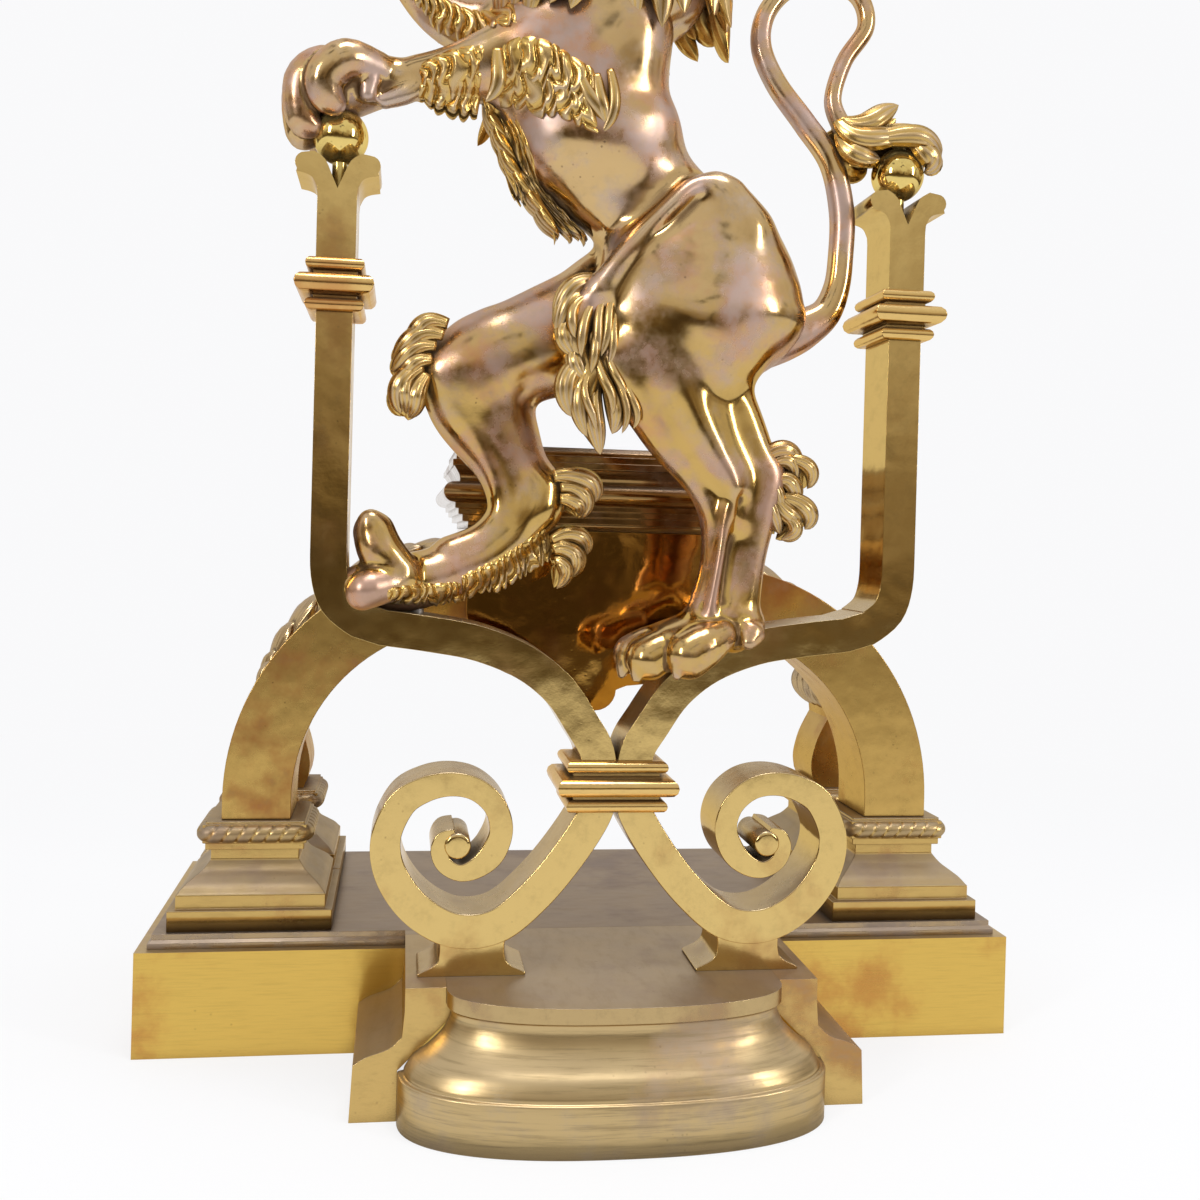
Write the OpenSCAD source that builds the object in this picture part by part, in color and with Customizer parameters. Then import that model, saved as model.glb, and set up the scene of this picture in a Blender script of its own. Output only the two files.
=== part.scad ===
// Fireplace andiron with a rampant lion in a scrolled frame, on an arched pedestal base.
// Front of the object faces -Y, +Z is up, the origin is on the floor under the middle of the footprint.

/* [Base block] */
// Width of the base block
base_w = 520; // [500:1:600]
// Depth of the base block from front face to rear face
base_d = 208; // [206:1:260]
// Height of the base block under its top plate
base_h = 60; // [50:1:90]
// Wall of the hollow castings
wall = 8; // [6:0.5:11]
// Thickness of the top plate and of the platform plate
plate_t = 8; // [6:0.5:12]
// How far the top plate stands in from the faces of the block
plate_inset = 6; // [3:0.5:9]

/* [Front platform] */
// Width over the side brackets at the platform
front_w = 218; // [200:1:240]
// How far the side brackets stand forward of the base block
bracket_d = 90; // [84:1:110]
// Width of a bracket's front face
bracket_t = 21; // [17:0.5:25]
// How far a bracket flares outwards towards the floor
bracket_flare = 27; // [18:1:32]
// Width of a bracket's foot on the floor
bracket_foot = 24; // [20:0.5:28]
// How far the bowed front stands forward of the brackets at the floor
bow_out = 51; // [44:1:60]
// How far the bow draws in at its front between the floor and the platform
bow_draw = 15; // [10:0.5:18]
// Height of the plain band at the foot of the bow
bow_band_h = 26; // [20:1:30]

/* [Pedestals] */
// Width of a pedestal's square plinth
pedestal_w = 93; // [84:1:96]
// Height of a pedestal
pedestal_h = 60; // [56:1:72]
// Distance from the side of the block to a pedestal's plinth
pedestal_inset = 15.5; // [10:0.5:20]
// Distance from the front face of the block to the front plinths
pedestal_setback = 11; // [8:0.5:12]
// Half width of a pedestal's neck
neck_half = 25.5; // [24:0.5:27]
// Height of the rope moulding
rope_h = 11; // [9:0.5:12]

/* [Arch] */
// Width of the arch bar seen from the front
arch_bar = 40; // [34:1:44]
// Depth of the arch bar from front to rear
arch_d = 50; // [44:1:51]
// Radius of the arch's outer shoulders
arch_side_r = 145; // [130:1:148]
// Height of the crown over the springing
arch_rise = 153; // [150:1:170]
// Straight height of the legs under the springing
arch_leg = 12; // [6:1:24]

/* [Keystone] */
// Width of the keystone
key_w = 156; // [140:1:166]
// How far the keystone plaque stands forward of the arch
key_out = 22; // [14:1:28]
// Height from the keystone's lower edge to its tip
key_drop = 107; // [96:1:112]
// Straight height of the plaque's sides
key_side = 50; // [36:1:56]
// Height of the cornice
cornice_h = 49; // [44:1:58]
// Greatest projection of the cornice
cornice_out = 15.5; // [12:0.5:18]

/* [Scroll frame] */
// Width of the flat bar that the frame is bent from
band = 18.5; // [15:0.5:20]
// Depth of the frame from front to rear
frame_d = 36; // [30:1:42]
// Distance from the middle of the frame to the middle of an upright
upright_x = 154; // [148:1:160]
// Height of the middle collar's centre over the platform
collar_z = 100; // [98:1:104]
// Height of the upright collars' centre over the platform
upper_collar_z = 359; // [350:1:370]
// How far the frame's front face stands forward of the base block
frame_out = 74; // [70:1:76]
// Radius of the balls on the uprights
ball_r = 14.6; // [12:0.1:16]
// Height of an upright's shaft from its collar to its split head
shaft_h = 36; // [28:1:48]
// Height of each collar of the frame
collar_h = 27.5; // [24:0.5:30]

/* [Lion] */
// Half depth of the lion's chest from front to rear
lion_depth = 38; // [30:1:42]
// Radius of the tail at its thickest free part
tail_r = 7; // [5:0.5:9]

/* [Fasteners] */
// Diameter of the tie rods through the pedestals
rod_d = 10; // [8:0.5:12]
// Diameter of the frame, keystone and lion screws
screw_d = 8; // [6:0.5:9]
// Diameter of the pins through the middle collar
pin_d = 6; // [4:0.5:8]
// Radial gap around rods and screws
clear = 0.25; // [0.1:0.05:0.5]
// Distance between the two bar bolts at the rear
bar_bolt_pitch = 60; // [40:1:100]
// Diameter of the bar bolt holes
bar_bolt_d = 11; // [8:0.5:14]

/* [Hidden] */
$fn = 48;

// Main levels and stations
front_reach = bracket_d + bow_out;
block_y = (front_reach - base_d) / 2;
block_rear = block_y + base_d;
bracket_y = block_y - bracket_d;
plate_z = base_h + plate_t;
cap_z = plate_z + pedestal_h;
ped_gap = 1;
pedestal_x = base_w / 2 - pedestal_inset - pedestal_w / 2;
ped_front_y = block_y + pedestal_setback + pedestal_w / 2;
ped_rear_y = ped_front_y + pedestal_w + ped_gap;
bow_mid_y = bracket_y;

// Arch: two side arcs and a flatter crown arc that meet at a common tangent
spring_z = cap_z + arch_leg;
crown_z = spring_z + arch_rise;
arch_half = pedestal_x + arch_bar / 2;
side_x = arch_half - arch_side_r;
arch_q = crown_z - arch_side_r;
crown_cz = (pow(arch_q, 2) - pow(side_x, 2) - pow(spring_z, 2)) / (2 * (arch_q - spring_z));
crown_r = crown_z - crown_cz;
arch_y = ped_front_y - arch_d / 2;
arch_rear = arch_y + arch_d;

// Keystone
key_y = arch_y - key_out;
key_z = crown_z + 11;
key_tip_r = 12.5;
key_rear = ped_rear_y + 20;
crown_drop = 48;
crown_core_x = key_w / 2 - 20;

// Frame
frame_y = block_y - frame_out;
frame_mid = frame_y + frame_d / 2;
scroll_x = 74.5;
foot_h = 9;
foot_half = 28;
join_z = plate_z + collar_z;
upper_z = plate_z + upper_collar_z;
arm_top = upper_z - collar_h / 2;
shaft_z = arm_top + collar_h;
head_z = shaft_z + shaft_h;
ball_z = head_z + 31.5;

// Fasteners
hole_r = rod_d / 2 + clear;
screw_r = screw_d / 2 + clear;
nut_h = 8;
nut_r = 9.5;
washer_t = 2.5;
washer_r = 13;
under_z = base_h - wall;
rod_grip = 30;
bolt_x = 44;
lion_dowel_l = 30;
bolt_z = crown_z - arch_bar / 2 - 2;
head_h = 5;
screw_bite = 6;
foot_screw_up = 26;
bracket_grip = 20;
bow_screw_x = 40;
cornice_screw_x = 66;
cornice_bite = 20;
dowel_bite = 14;
dowel_l = collar_h + 2 * dowel_bite;
pin_r = pin_d / 2 + clear;
pin_rise = 9.5;
pin_cover = 4;
stud_down = ball_z - head_z + 12;
stud_up = ball_r + 8;

// ---------- Curves and general shapes ----------

// Point on a cubic curve through b and c
function between(a, b, c, d, t) =
    0.5 * (2 * b + (c - a) * t + (2 * a - 5 * b + 4 * c - d) * t * t
        + (3 * b - a - 3 * c + d) * t * t * t);

// Smooth run through all rows, n steps between neighbours
function smooth(rows, n) = [
    for (i = [0 : len(rows) - 2], k = [0 : n - 1])
        between(rows[max(i - 1, 0)], rows[i], rows[i + 1], rows[min(i + 2, len(rows) - 1)], k / n),
    rows[len(rows) - 1]
];

// Arc points about a centre, from one angle to another
function arc(c, r, from, to, n) = [
    for (k = [0 : n]) c + r * [cos(from + (to - from) * k / n), sin(from + (to - from) * k / n)]
];

function unit(v) = v / norm(v);

function heading(pts, i) = unit(pts[min(i + 1, len(pts) - 1)] - pts[max(i - 1, 0)]);

// Flat bar of constant width along a plane path
function bar_edge(pts, half) = [
    for (i = [0 : len(pts) - 1]) let (t = heading(pts, i)) pts[i] + half * [-t.y, t.x]
];

function reversed(list) = [for (i = [len(list) - 1 : -1 : 0]) list[i]];

module bar_outline(pts, half)
    polygon(concat(bar_edge(pts, half), reversed(bar_edge(pts, -half))));

// Stands each drawing in X and Z upright, with its thickness from y to y + depth
module upright(y, depth)
    for (i = [0 : $children - 1])
        translate([0, y + depth, 0]) rotate([90, 0, 0]) linear_extrude(depth) children(i);

// Mitred moulding round a rectangle: rows of [distance from the core, height]
module moulding(w, d, rows) {
    reach = max([for (r = rows) r[0]]) + 1;
    wide = [for (r = rows) [w / 2 + r[0], r[1]]];
    deep = [for (r = rows) [d / 2 + r[0], r[1]]];
    intersection() {
        upright(-d / 2 - reach, d + 2 * reach)
            polygon(concat(wide, reversed([for (p = wide) [-p.x, p.y]])));
        rotate([0, 0, 90]) upright(-w / 2 - reach, w + 2 * reach)
            polygon(concat(deep, reversed([for (p = deep) [-p.x, p.y]])));
    }
}

// Half-round bead of radius r, whose middle stands at height z over a face at distance x
function bead(x, z, r, n = 6) = [
    for (p = arc([x, z], r, -90, 90, n)) [p.x, p.y]
];

// Cross-sections for swept limbs: each row is [x, y, z, half width, half depth]
limb_sides = 12;

function limb_at(row) = [row[0], row[1], row[2]];

function limb_heading(rows, i) =
    unit(limb_at(rows[min(i + 1, len(rows) - 1)]) - limb_at(rows[max(i - 1, 0)]));

function limb_ring(row, t, size, shift) =
    let (n = unit([t.z, 0, -t.x]), m = cross(t, n), c = limb_at(row) + shift * t)
    [for (k = [0 : limb_sides - 1])
        c + size * row[3] * cos(360 * k / limb_sides) * n
          + size * row[4] * sin(360 * k / limb_sides) * m];

// Closed solid along the rows, rounded at both ends
module limb(rows, steps = 2) {
    path = smooth(rows, steps);
    last = len(path) - 1;
    t0 = limb_heading(path, 0);
    t1 = limb_heading(path, last);
    h0 = min(path[0][3], path[0][4]);
    h1 = min(path[last][3], path[last][4]);
    rings = concat(
        [for (a = [70, 35]) limb_ring(path[0], t0, cos(a), -h0 * sin(a))],
        [for (i = [0 : last]) limb_ring(path[i], limb_heading(path, i), 1, 0)],
        [for (a = [35, 70]) limb_ring(path[last], t1, cos(a), h1 * sin(a))]
    );
    count = len(rings);
    points = concat(
        [for (r = rings, p = r) p],
        [limb_at(path[0]) - h0 * t0, limb_at(path[last]) + h1 * t1]
    );
    s = limb_sides;
    polyhedron(points, concat(
        [for (i = [0 : count - 2], k = [0 : s - 1]) [i * s + k, (i + 1) * s + k, i * s + (k + 1) % s]],
        [for (i = [0 : count - 2], k = [0 : s - 1])
            [i * s + (k + 1) % s, (i + 1) * s + k, (i + 1) * s + (k + 1) % s]],
        [for (k = [0 : s - 1]) [k, (k + 1) % s, count * s]],
        [for (k = [0 : s - 1])
            [(count - 1) * s + k, count * s + 1, (count - 1) * s + (k + 1) % s]]
    ));
}

// Teardrop from point p with radius rp to point q with radius rq: a toe, a claw or a lock of hair
module drop(p, q, rp, rq) {
    hull() {
        translate(p) sphere(r = rp, $fn = 8);
        translate(q) sphere(r = rq, $fn = 8);
    }
}

module locks(list)
    for (l = list) drop(l[0], l[1], l[2], l[3]);

// ---------- Base ----------

module at_pedestals()
    for (x = [-pedestal_x, pedestal_x], y = [ped_front_y, ped_rear_y]) translate([x, y, 0]) children();

module at_bar_bolts()
    for (s = [-1, 1]) translate([s * bar_bolt_pitch / 2, block_rear, base_h / 2]) children();

module base_casting() color("goldenrod") {
    boss_d = 26;
    window_x = pedestal_x - pedestal_w / 2 - 2 * wall;
    window_y = block_y + 4 * wall;
    difference() {
        translate([-base_w / 2, block_y, 0]) cube([base_w, base_d, base_h]);
        translate([-base_w / 2 + wall, block_y + wall, -1])
            cube([base_w - 2 * wall, base_d - 2 * wall, base_h - wall + 1]);
        translate([-window_x, window_y, base_h - 2 * wall])
            cube([2 * window_x, block_rear - 4 * wall - window_y, 3 * wall]);
        at_pedestals() cylinder(r = hole_r, h = base_h + 1);
        at_bar_bolts() rotate([90, 0, 0]) translate([0, 0, -1]) cylinder(d = bar_bolt_d, h = wall + 2);
        at_bracket_screws() translate([0, 0, -wall - 1]) cylinder(r = screw_r, h = wall + 2);
    }
    difference() {
        at_bar_bolts() rotate([90, 0, 0]) translate([0, 0, wall]) cylinder(d = boss_d, h = wall);
        at_bar_bolts() rotate([90, 0, 0]) cylinder(d = bar_bolt_d, h = 3 * wall);
    }
}

module base_top_plate() color("rosybrown") {
    edge_rows = [[0, 0], [0, 0.4 * plate_t], [-2, 0.6 * plate_t], [-2, plate_t]];
    w = base_w - 2 * plate_inset;
    d = base_d - 2 * plate_inset;
    difference() {
        translate([0, block_y + base_d / 2, base_h]) moulding(w, d, edge_rows);
        translate([0, 0, base_h - 1]) at_pedestals() cylinder(r = hole_r, h = plate_t + 2);
        translate([-front_w / 2, block_y, base_h - 1]) cube([front_w, plate_inset + 2, plate_t + 2]);
    }
}

// ---------- Front platform ----------

// Ledge inside each bracket, on which the platform plate lies
ledge_w = 16;
ledge_t = 10;

// Outline of a bracket's front face: an ogee outside, a ledge inside
function bracket_outline() = concat(
    [[front_w / 2 - bracket_t, plate_z], [front_w / 2, plate_z], [front_w / 2, plate_z - 12]],
    smooth([
        [front_w / 2 + 1, 0.72 * base_h], [front_w / 2 + 0.28 * bracket_flare, 0.62 * base_h],
        [front_w / 2 + 0.72 * bracket_flare, 0.55 * base_h],
        [front_w / 2 + 0.95 * bracket_flare, bow_band_h + 3]
    ], 4),
    [[front_w / 2 + bracket_flare, 0], [front_w / 2 + bracket_flare - bracket_foot, 0]],
    [[front_w / 2 + bracket_flare - bracket_foot, bow_band_h], [bow_half_high, base_h - ledge_t]],
    [[bow_half_high - ledge_w, base_h - ledge_t], [bow_half_high - ledge_w, base_h], [bow_half_high, base_h]]
);

module bracket(side) color("darkgoldenrod")
    difference() {
        mirror([side < 0 ? 1 : 0, 0, 0]) upright(bracket_y, bracket_d) polygon(bracket_outline());
        at_platform_screws() cylinder(r = screw_r, h = plate_z);
        at_frame_feet() cylinder(r = screw_d + 1, h = base_h + 1);
        at_bracket_screws() cylinder(r = screw_r, h = bracket_grip + 1);
    }

module bracket_left() bracket(-1);
module bracket_right() bracket(1);

// Plan of the bow: a full rounded front, k = 0 at the floor and 1 at the platform
bow_sides = 28;
bow_half_low = front_w / 2 + bracket_flare - bracket_foot;
bow_half_high = front_w / 2 - bracket_t;

function bow_half(k) = bow_half_low + (bow_half_high - bow_half_low) * k;
function bow_reach(k) = bow_out - bow_draw * k;

function bow_point(k, i, inset) =
    let (a = 180 * i / bow_sides, e = 2 / 2.4, c = cos(a), s = max(sin(a), 0))
    [(bow_half(k) - inset) * sign(c) * pow(abs(c), e), -(bow_reach(k) - inset) * pow(s, e)];

// Rows of [draw-in, height] up the face of the bow
bow_profile = concat(
    [[0, 0], [0, bow_band_h], [0.12, bow_band_h + 0.5]],
    smooth([
        [0.16, bow_band_h + 3], [0.34, bow_band_h + 9], [0.62, bow_band_h + 14],
        [0.92, bow_band_h + 21], [1.08, bow_band_h + 28]
    ], 2),
    [[1.1, base_h - 1.5], [1.02, base_h]]
);

module bow_solid(rows, inset) {
    n = bow_sides + 1;
    m = len(rows);
    points = [for (r = rows, i = [0 : bow_sides])
        let (p = bow_point(r[0], i, inset)) [p.x, bow_mid_y + p.y, r[1]]];
    ring = [for (i = [0 : n - 1]) i];
    polyhedron(points, concat(
        [reversed(ring)],
        [[for (i = ring) (m - 1) * n + i]],
        [for (j = [0 : m - 2], i = [0 : n - 1])
            [j * n + i, j * n + (i + 1) % n, (j + 1) * n + i]],
        [for (j = [0 : m - 2], i = [0 : n - 1])
            [j * n + (i + 1) % n, (j + 1) * n + (i + 1) % n, (j + 1) * n + i]]
    ));
}

module bow_front() color("goldenrod")
    difference() {
        bow_solid(bow_profile, 0);
        bow_solid([[1.15, -1], [1.15, under_z]], wall);
        at_bow_screws() cylinder(r = screw_r, h = plate_z);
    }

module at_platform_screws()
    for (x = [-1, 1], y = [0.2, 0.8])
        translate([x * (bow_half_high - ledge_w / 2), bracket_y + y * bracket_d, 0]) children();

module at_bow_screws()
    for (x = [-1, 1]) translate([x * bow_screw_x, bow_mid_y - 10, 0]) children();

module at_bracket_screws()
    for (s = [-1, 1], p = [[front_w / 2 + 15, 14], [front_w / 2, base_h - 22]])
        translate([s * p.x, block_y, p.y]) rotate([90, 0, 0]) children();

// Platform plate with a bowed front edge, between the brackets and against the top plate
module platform_plate() color("rosybrown") {
    y0 = bow_mid_y;
    y1 = block_y + plate_inset + 2;
    front = [for (i = [0 : bow_sides]) let (p = bow_point(1, i, 0)) [p.x, y0 + p.y]];
    difference() {
        translate([0, 0, base_h]) linear_extrude(plate_t)
            polygon(concat(front, [[-bow_half_high, block_y], [-front_w / 2, block_y],
                [-front_w / 2, y1], [front_w / 2, y1], [front_w / 2, block_y], [bow_half_high, block_y]]));
        at_frame_feet() cylinder(r = screw_r, h = 2 * plate_z);
        at_platform_screws() cylinder(r = screw_r, h = base_h + screw_bite);
        at_bow_screws() cylinder(r = screw_r, h = base_h + screw_bite);
    }
}

// ---------- Pedestals ----------

// Rows of [half width, height] from plinth to top plate
function pedestal_rows() =
    let (h = pedestal_h, p = pedestal_w / 2, top = neck_half + 3)
    concat(
        [[p, 0], [p, 12], [p - 4, 12], [p - 4, 20]],
        smooth([
            [p - 5, 21], [p - 8, 24.5], [(p + neck_half) / 2 - 2, 28], [neck_half + 4, 31.5],
            [neck_half, 36.5]
        ], 3),
        [[neck_half, h - rope_h - 6], [top, h - rope_h - 6], [top, h - rope_h - 2]],
        bead(top + 0.5, h - 2 - rope_h / 2, rope_h / 2),
        [[top, h - 2], [top, h]]
    );

// Square hollow from below
module core(w, h)
    translate([-w / 2, -w / 2, -1]) cube([w, w, h + 1]);

module pedestal(x, y) color("goldenrod")
    translate([x, y, plate_z]) difference() {
        moulding(0, 0, pedestal_rows());
        translate([0, 0, -1]) cylinder(r = hole_r, h = pedestal_h + 2);
        core(pedestal_w - 3 * wall, 12);
        core(2 * neck_half - 2 * wall, pedestal_h - wall);
    }

module pedestal_front_left() pedestal(-pedestal_x, ped_front_y);
module pedestal_front_right() pedestal(pedestal_x, ped_front_y);
module pedestal_rear_left() pedestal(-pedestal_x, ped_rear_y);
module pedestal_rear_right() pedestal(pedestal_x, ped_rear_y);

// ---------- Arch and rear scrolls ----------

// Solid under the arch's curve, drawn in by the amount given
module arch_face(inset) {
    r = arch_side_r - inset;
    for (s = [-1, 1]) translate([s * side_x, spring_z]) circle(r = r, $fn = 96);
    intersection() {
        translate([0, crown_cz]) circle(r = crown_r - inset, $fn = 192);
        polygon([[0, crown_cz], 3 * [side_x, spring_z - crown_cz] + [0, crown_cz],
            3 * [-side_x, spring_z - crown_cz] + [0, crown_cz]]);
    }
}

module arch_outline()
    difference() {
        union() {
            arch_face(0);
            translate([-arch_half, cap_z]) square([2 * arch_half, arch_leg]);
        }
        union() {
            arch_face(arch_bar);
            translate([-arch_half + arch_bar, cap_z - 1]) square([2 * (arch_half - arch_bar), arch_leg + 1]);
        }
        translate([-2 * arch_half, cap_z - 3 * arch_half]) square([4 * arch_half, 3 * arch_half]);
    }

module front_arch() color("goldenrod")
    difference() {
        upright(arch_y, arch_d) arch_outline();
        for (x = [-pedestal_x, pedestal_x])
            translate([x, ped_front_y, cap_z - 1]) cylinder(r = hole_r, h = rod_grip + 1);
        at_keystone_bolts() cylinder(r = screw_r, h = base_d);
    }

// Rear support: a bulb on the pedestal, a waist, and an arm that bends in to the crown block
scroll_d = 44;
scroll_y = ped_rear_y - scroll_d / 2;
leaf_t = 3;
rear_half = 12;
key_half = key_w / 2;
rear_path = smooth([
    [pedestal_x, cap_z + 46], [pedestal_x - 3, cap_z + 66], [pedestal_x - 12, cap_z + 90],
    [pedestal_x - 32, cap_z + 116], [pedestal_x - 62, cap_z + 138], [key_half + 26, cap_z + 150],
    [key_half - 2, cap_z + 153]
], 4);

module rear_arm_outline()
    difference() {
        bar_outline(rear_path, rear_half);
        translate([-key_half, 0]) square([2 * key_half, 2 * crown_z]);
    }

module rear_bulb_outline()
    polygon(concat(
        [[pedestal_x - 20, cap_z], [pedestal_x + 20, cap_z]],
        smooth([
            [pedestal_x + 23, cap_z + 7], [pedestal_x + 24, cap_z + 18], [pedestal_x + 20, cap_z + 34],
            [pedestal_x + 12, cap_z + 50]
        ], 4),
        smooth([
            [pedestal_x - 12, cap_z + 50], [pedestal_x - 20, cap_z + 34], [pedestal_x - 24, cap_z + 18],
            [pedestal_x - 23, cap_z + 7]
        ], 4)
    ));

module rear_scroll_form(side)
    mirror([side < 0 ? 1 : 0, 0, 0]) upright(scroll_y, scroll_d) {
        rear_arm_outline();
        rear_bulb_outline();
    }

module rear_scroll(side) color("goldenrod")
    difference() {
        rear_scroll_form(side);
        translate([side * pedestal_x, ped_rear_y, cap_z - 1]) cylinder(r = hole_r, h = rod_grip + 1);
        at_crown_dowels() cylinder(r = screw_r, h = 2 * dowel_bite);
    }

module rear_scroll_left() rear_scroll(-1);
module rear_scroll_right() rear_scroll(1);

// Leaf sheath round the rear scroll: lobes along its outside, and a tip that curls in under the arch
module acanthus_form()
    upright(scroll_y - leaf_t, scroll_d + 2 * leaf_t) {
        bar_outline([for (i = [4 : 19]) rear_path[i]], rear_half + 2);
        for (i = [6 : 3 : 18]) translate(bar_edge(rear_path, 2 - rear_half)[i]) circle(r = 9);
        translate([pedestal_x - 15, cap_z + 66]) circle(r = 7);
        polygon([[pedestal_x - 18, cap_z + 46], [pedestal_x + 12, cap_z + 42], [pedestal_x + 15, cap_z + 62],
            [pedestal_x - 6, cap_z + 84], [pedestal_x - 22, cap_z + 66]]);
    }

module acanthus(side) color("rosybrown")
    difference() {
        mirror([side < 0 ? 1 : 0, 0, 0]) acanthus_form();
        rear_scroll_form(side);
    }

module acanthus_left() acanthus(-1);
module acanthus_right() acanthus(1);

// ---------- Keystone ----------

module at_keystone_bolts()
    for (s = [-1, 1]) translate([s * bolt_x, key_y + 8, bolt_z]) rotate([-90, 0, 0]) children();

// Shield: straight sides, a full curve inwards and a small round tip
module keystone_outline() {
    right = concat(
        [[key_half, key_z], [key_half, key_z - key_side]],
        smooth([
            [0.97 * key_half, key_z - key_side - 12], [0.86 * key_half, key_z - 0.72 * key_drop],
            [0.64 * key_half, key_z - 0.81 * key_drop], [0.42 * key_half, key_z - 0.845 * key_drop],
            [0.24 * key_half, key_z - 0.86 * key_drop]
        ], 4),
        arc([0, key_z - key_drop + key_tip_r], key_tip_r, 0, -90, 6)
    );
    polygon(concat(right, reversed([for (p = right) [-p.x, p.y]])));
}

module keystone_plaque() color("saddlebrown")
    difference() {
        upright(key_y, key_out) keystone_outline();
        at_keystone_bolts() cylinder(r = screw_r, h = base_d);
    }

// Block on and behind the crown that carries the cornice and takes the rear scrolls
module crown_block() color("goldenrod")
    difference() {
        translate([-key_half, arch_y, crown_z - crown_drop])
            cube([key_w, key_rear - arch_y, key_z - crown_z + crown_drop]);
        upright(arch_y - 1, arch_d + 1) union() {
            arch_face(0);
            translate([-key_w, 0]) square([2 * key_w, crown_z - 30]);
        }
        translate([-crown_core_x, arch_rear + wall, crown_z - crown_drop + wall])
            cube([2 * crown_core_x, key_rear - arch_rear - 2 * wall, base_d]);
        at_keystone_bolts() cylinder(r = screw_r, h = base_d);
        at_cornice_screws() cylinder(r = screw_r, h = base_d);
        at_crown_dowels() cylinder(r = screw_r, h = 2 * dowel_bite);
    }

// Rows of [projection, height] up the cornice
function cornice_rows() =
    let (o = cornice_out, r = 6, m = 0.43 * cornice_h)
    concat(
        [[0.5, 0], [0.5, 4], [o - 11.5, 4], [o - 11.5, 8], [o - 9, 8], [o - 9, 11.5], [o - 7, 11.5]],
        [[o - 7, m - r]],
        bead(o - r, m, r),
        smooth([[o - 9.5, m + r + 0.5], [o - 9, m + r + 4], [o - 6, m + r + 9]], 3),
        [[o - 5, m + r + 9], [o - 5, cornice_h - 9], [o - 7, cornice_h - 9]],
        [[o - 7, cornice_h - 5], [o - 8.5, cornice_h - 5], [o - 8.5, cornice_h]]
    );

module cornice() color("saddlebrown")
    difference() {
        translate([0, (key_y + key_rear) / 2, key_z]) moulding(key_w, key_rear - key_y, cornice_rows());
        translate([-crown_core_x, key_y + 2 * wall, key_z - 1])
            cube([2 * crown_core_x, key_rear - key_y - 4 * wall, cornice_h - wall + 1]);
        translate([0, 0, key_z - 1 - crown_z + crown_drop]) at_cornice_screws()
            cylinder(r = screw_r, h = cornice_bite + 1);
    }

// ---------- Scroll frame ----------

module at_frame_feet()
    for (s = [-1, 1]) translate([s * scroll_x, frame_mid, 0]) children();

// Centre line of the C-scroll from the collar down to the eye
scroll_path = smooth([
    [band / 2, join_z], [band / 2 + 1.5, plate_z + 86], [24, plate_z + 64], [42, plate_z + 42],
    [62, plate_z + 26], [84, plate_z + 24], [105, plate_z + 36], [118, plate_z + 60],
    [113, plate_z + 86], [96, plate_z + 98.5], [76, plate_z + 96], [64, plate_z + 83],
    [66, plate_z + 67]
], 5);
eye_r = 11;

module scroll_bar_outline()
    difference() {
        bar_outline(scroll_path, band / 2);
        translate([-band, 0]) square([band, 2 * join_z]);
        translate([0, join_z]) square([2 * band, band]);
    }

// Neck and flared foot
module scroll_foot_outline()
    polygon(concat(
        [[scroll_x - foot_half, plate_z], [scroll_x + foot_half, plate_z]],
        [[scroll_x + foot_half, plate_z + 1.6]],
        smooth([
            [scroll_x + foot_half, plate_z + 1.6], [scroll_x + 21, plate_z + 5],
            [scroll_x + 17.5, plate_z + foot_h], [scroll_x + 17, plate_z + 17], [scroll_x + 19, plate_z + 23]
        ], 3),
        smooth([
            [scroll_x - 19, plate_z + 23], [scroll_x - 17, plate_z + 17], [scroll_x - 17.5, plate_z + foot_h],
            [scroll_x - 21, plate_z + 5], [scroll_x - foot_half, plate_z + 1.6]
        ], 3)
    ));

module foot_scroll_form(side)
    mirror([side < 0 ? 1 : 0, 0, 0]) upright(frame_y, frame_d) {
        scroll_bar_outline();
        scroll_foot_outline();
        translate([82, plate_z + 69]) circle(r = eye_r);
    }

module foot_scroll(side) color("khaki")
    difference() {
        foot_scroll_form(side);
        at_frame_feet() translate([0, 0, plate_z - 1]) cylinder(r = screw_r, h = foot_screw_up + 1);
        at_collar_pins() cylinder(r = pin_r, h = 2 * frame_d);
    }

module foot_scroll_left() foot_scroll(-1);
module foot_scroll_right() foot_scroll(1);

// Centre line of an arm from the collar out to the upright
arm_path = concat(
    smooth([
        [band / 2, join_z], [band / 2 + 1.5, plate_z + 118], [19, plate_z + 132.5],
        [31.5, plate_z + 150.5], [50, plate_z + 165], [74.5, plate_z + 174.8], [99, plate_z + 179.3],
        [upright_x - 29, plate_z + 182.5]
    ], 5),
    smooth([
        [upright_x - 16, plate_z + 186.5], [upright_x - 5, plate_z + 196], [upright_x - 0.6, plate_z + 210],
        [upright_x, plate_z + 228]
    ], 4),
    [[upright_x, arm_top]]
);

module frame_arm_outline()
    difference() {
        bar_outline(arm_path, band / 2);
        translate([-band, 0]) square([band, 2 * upper_z]);
        translate([0, join_z - band]) square([2 * band, band]);
    }

module frame_arm(side) color("khaki")
    difference() {
        mirror([side < 0 ? 1 : 0, 0, 0]) upright(frame_y, frame_d) frame_arm_outline();
        at_collar_pins() cylinder(r = pin_r, h = 2 * frame_d);
        at_upright_dowels() cylinder(r = screw_r, h = dowel_l);
        lion_dowel_holes();
    }

module frame_arm_left() frame_arm(-1);
module frame_arm_right() frame_arm(1);

// Ring moulding round a bar: two beads and a torus between them
function collar_rows() =
    let (h = collar_h, b = 0.24 * h, r = 0.18 * h)
    concat(
        [[1.5, 0]], bead(1.5, b / 2, b / 2), [[0.8, b], [0.8, b + 1.5]],
        bead(5, h / 2, r), [[0.8, h - b - 1.5], [0.8, h - b]],
        bead(1.5, h - b / 2, b / 2), [[1.5, h]]
    );

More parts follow.
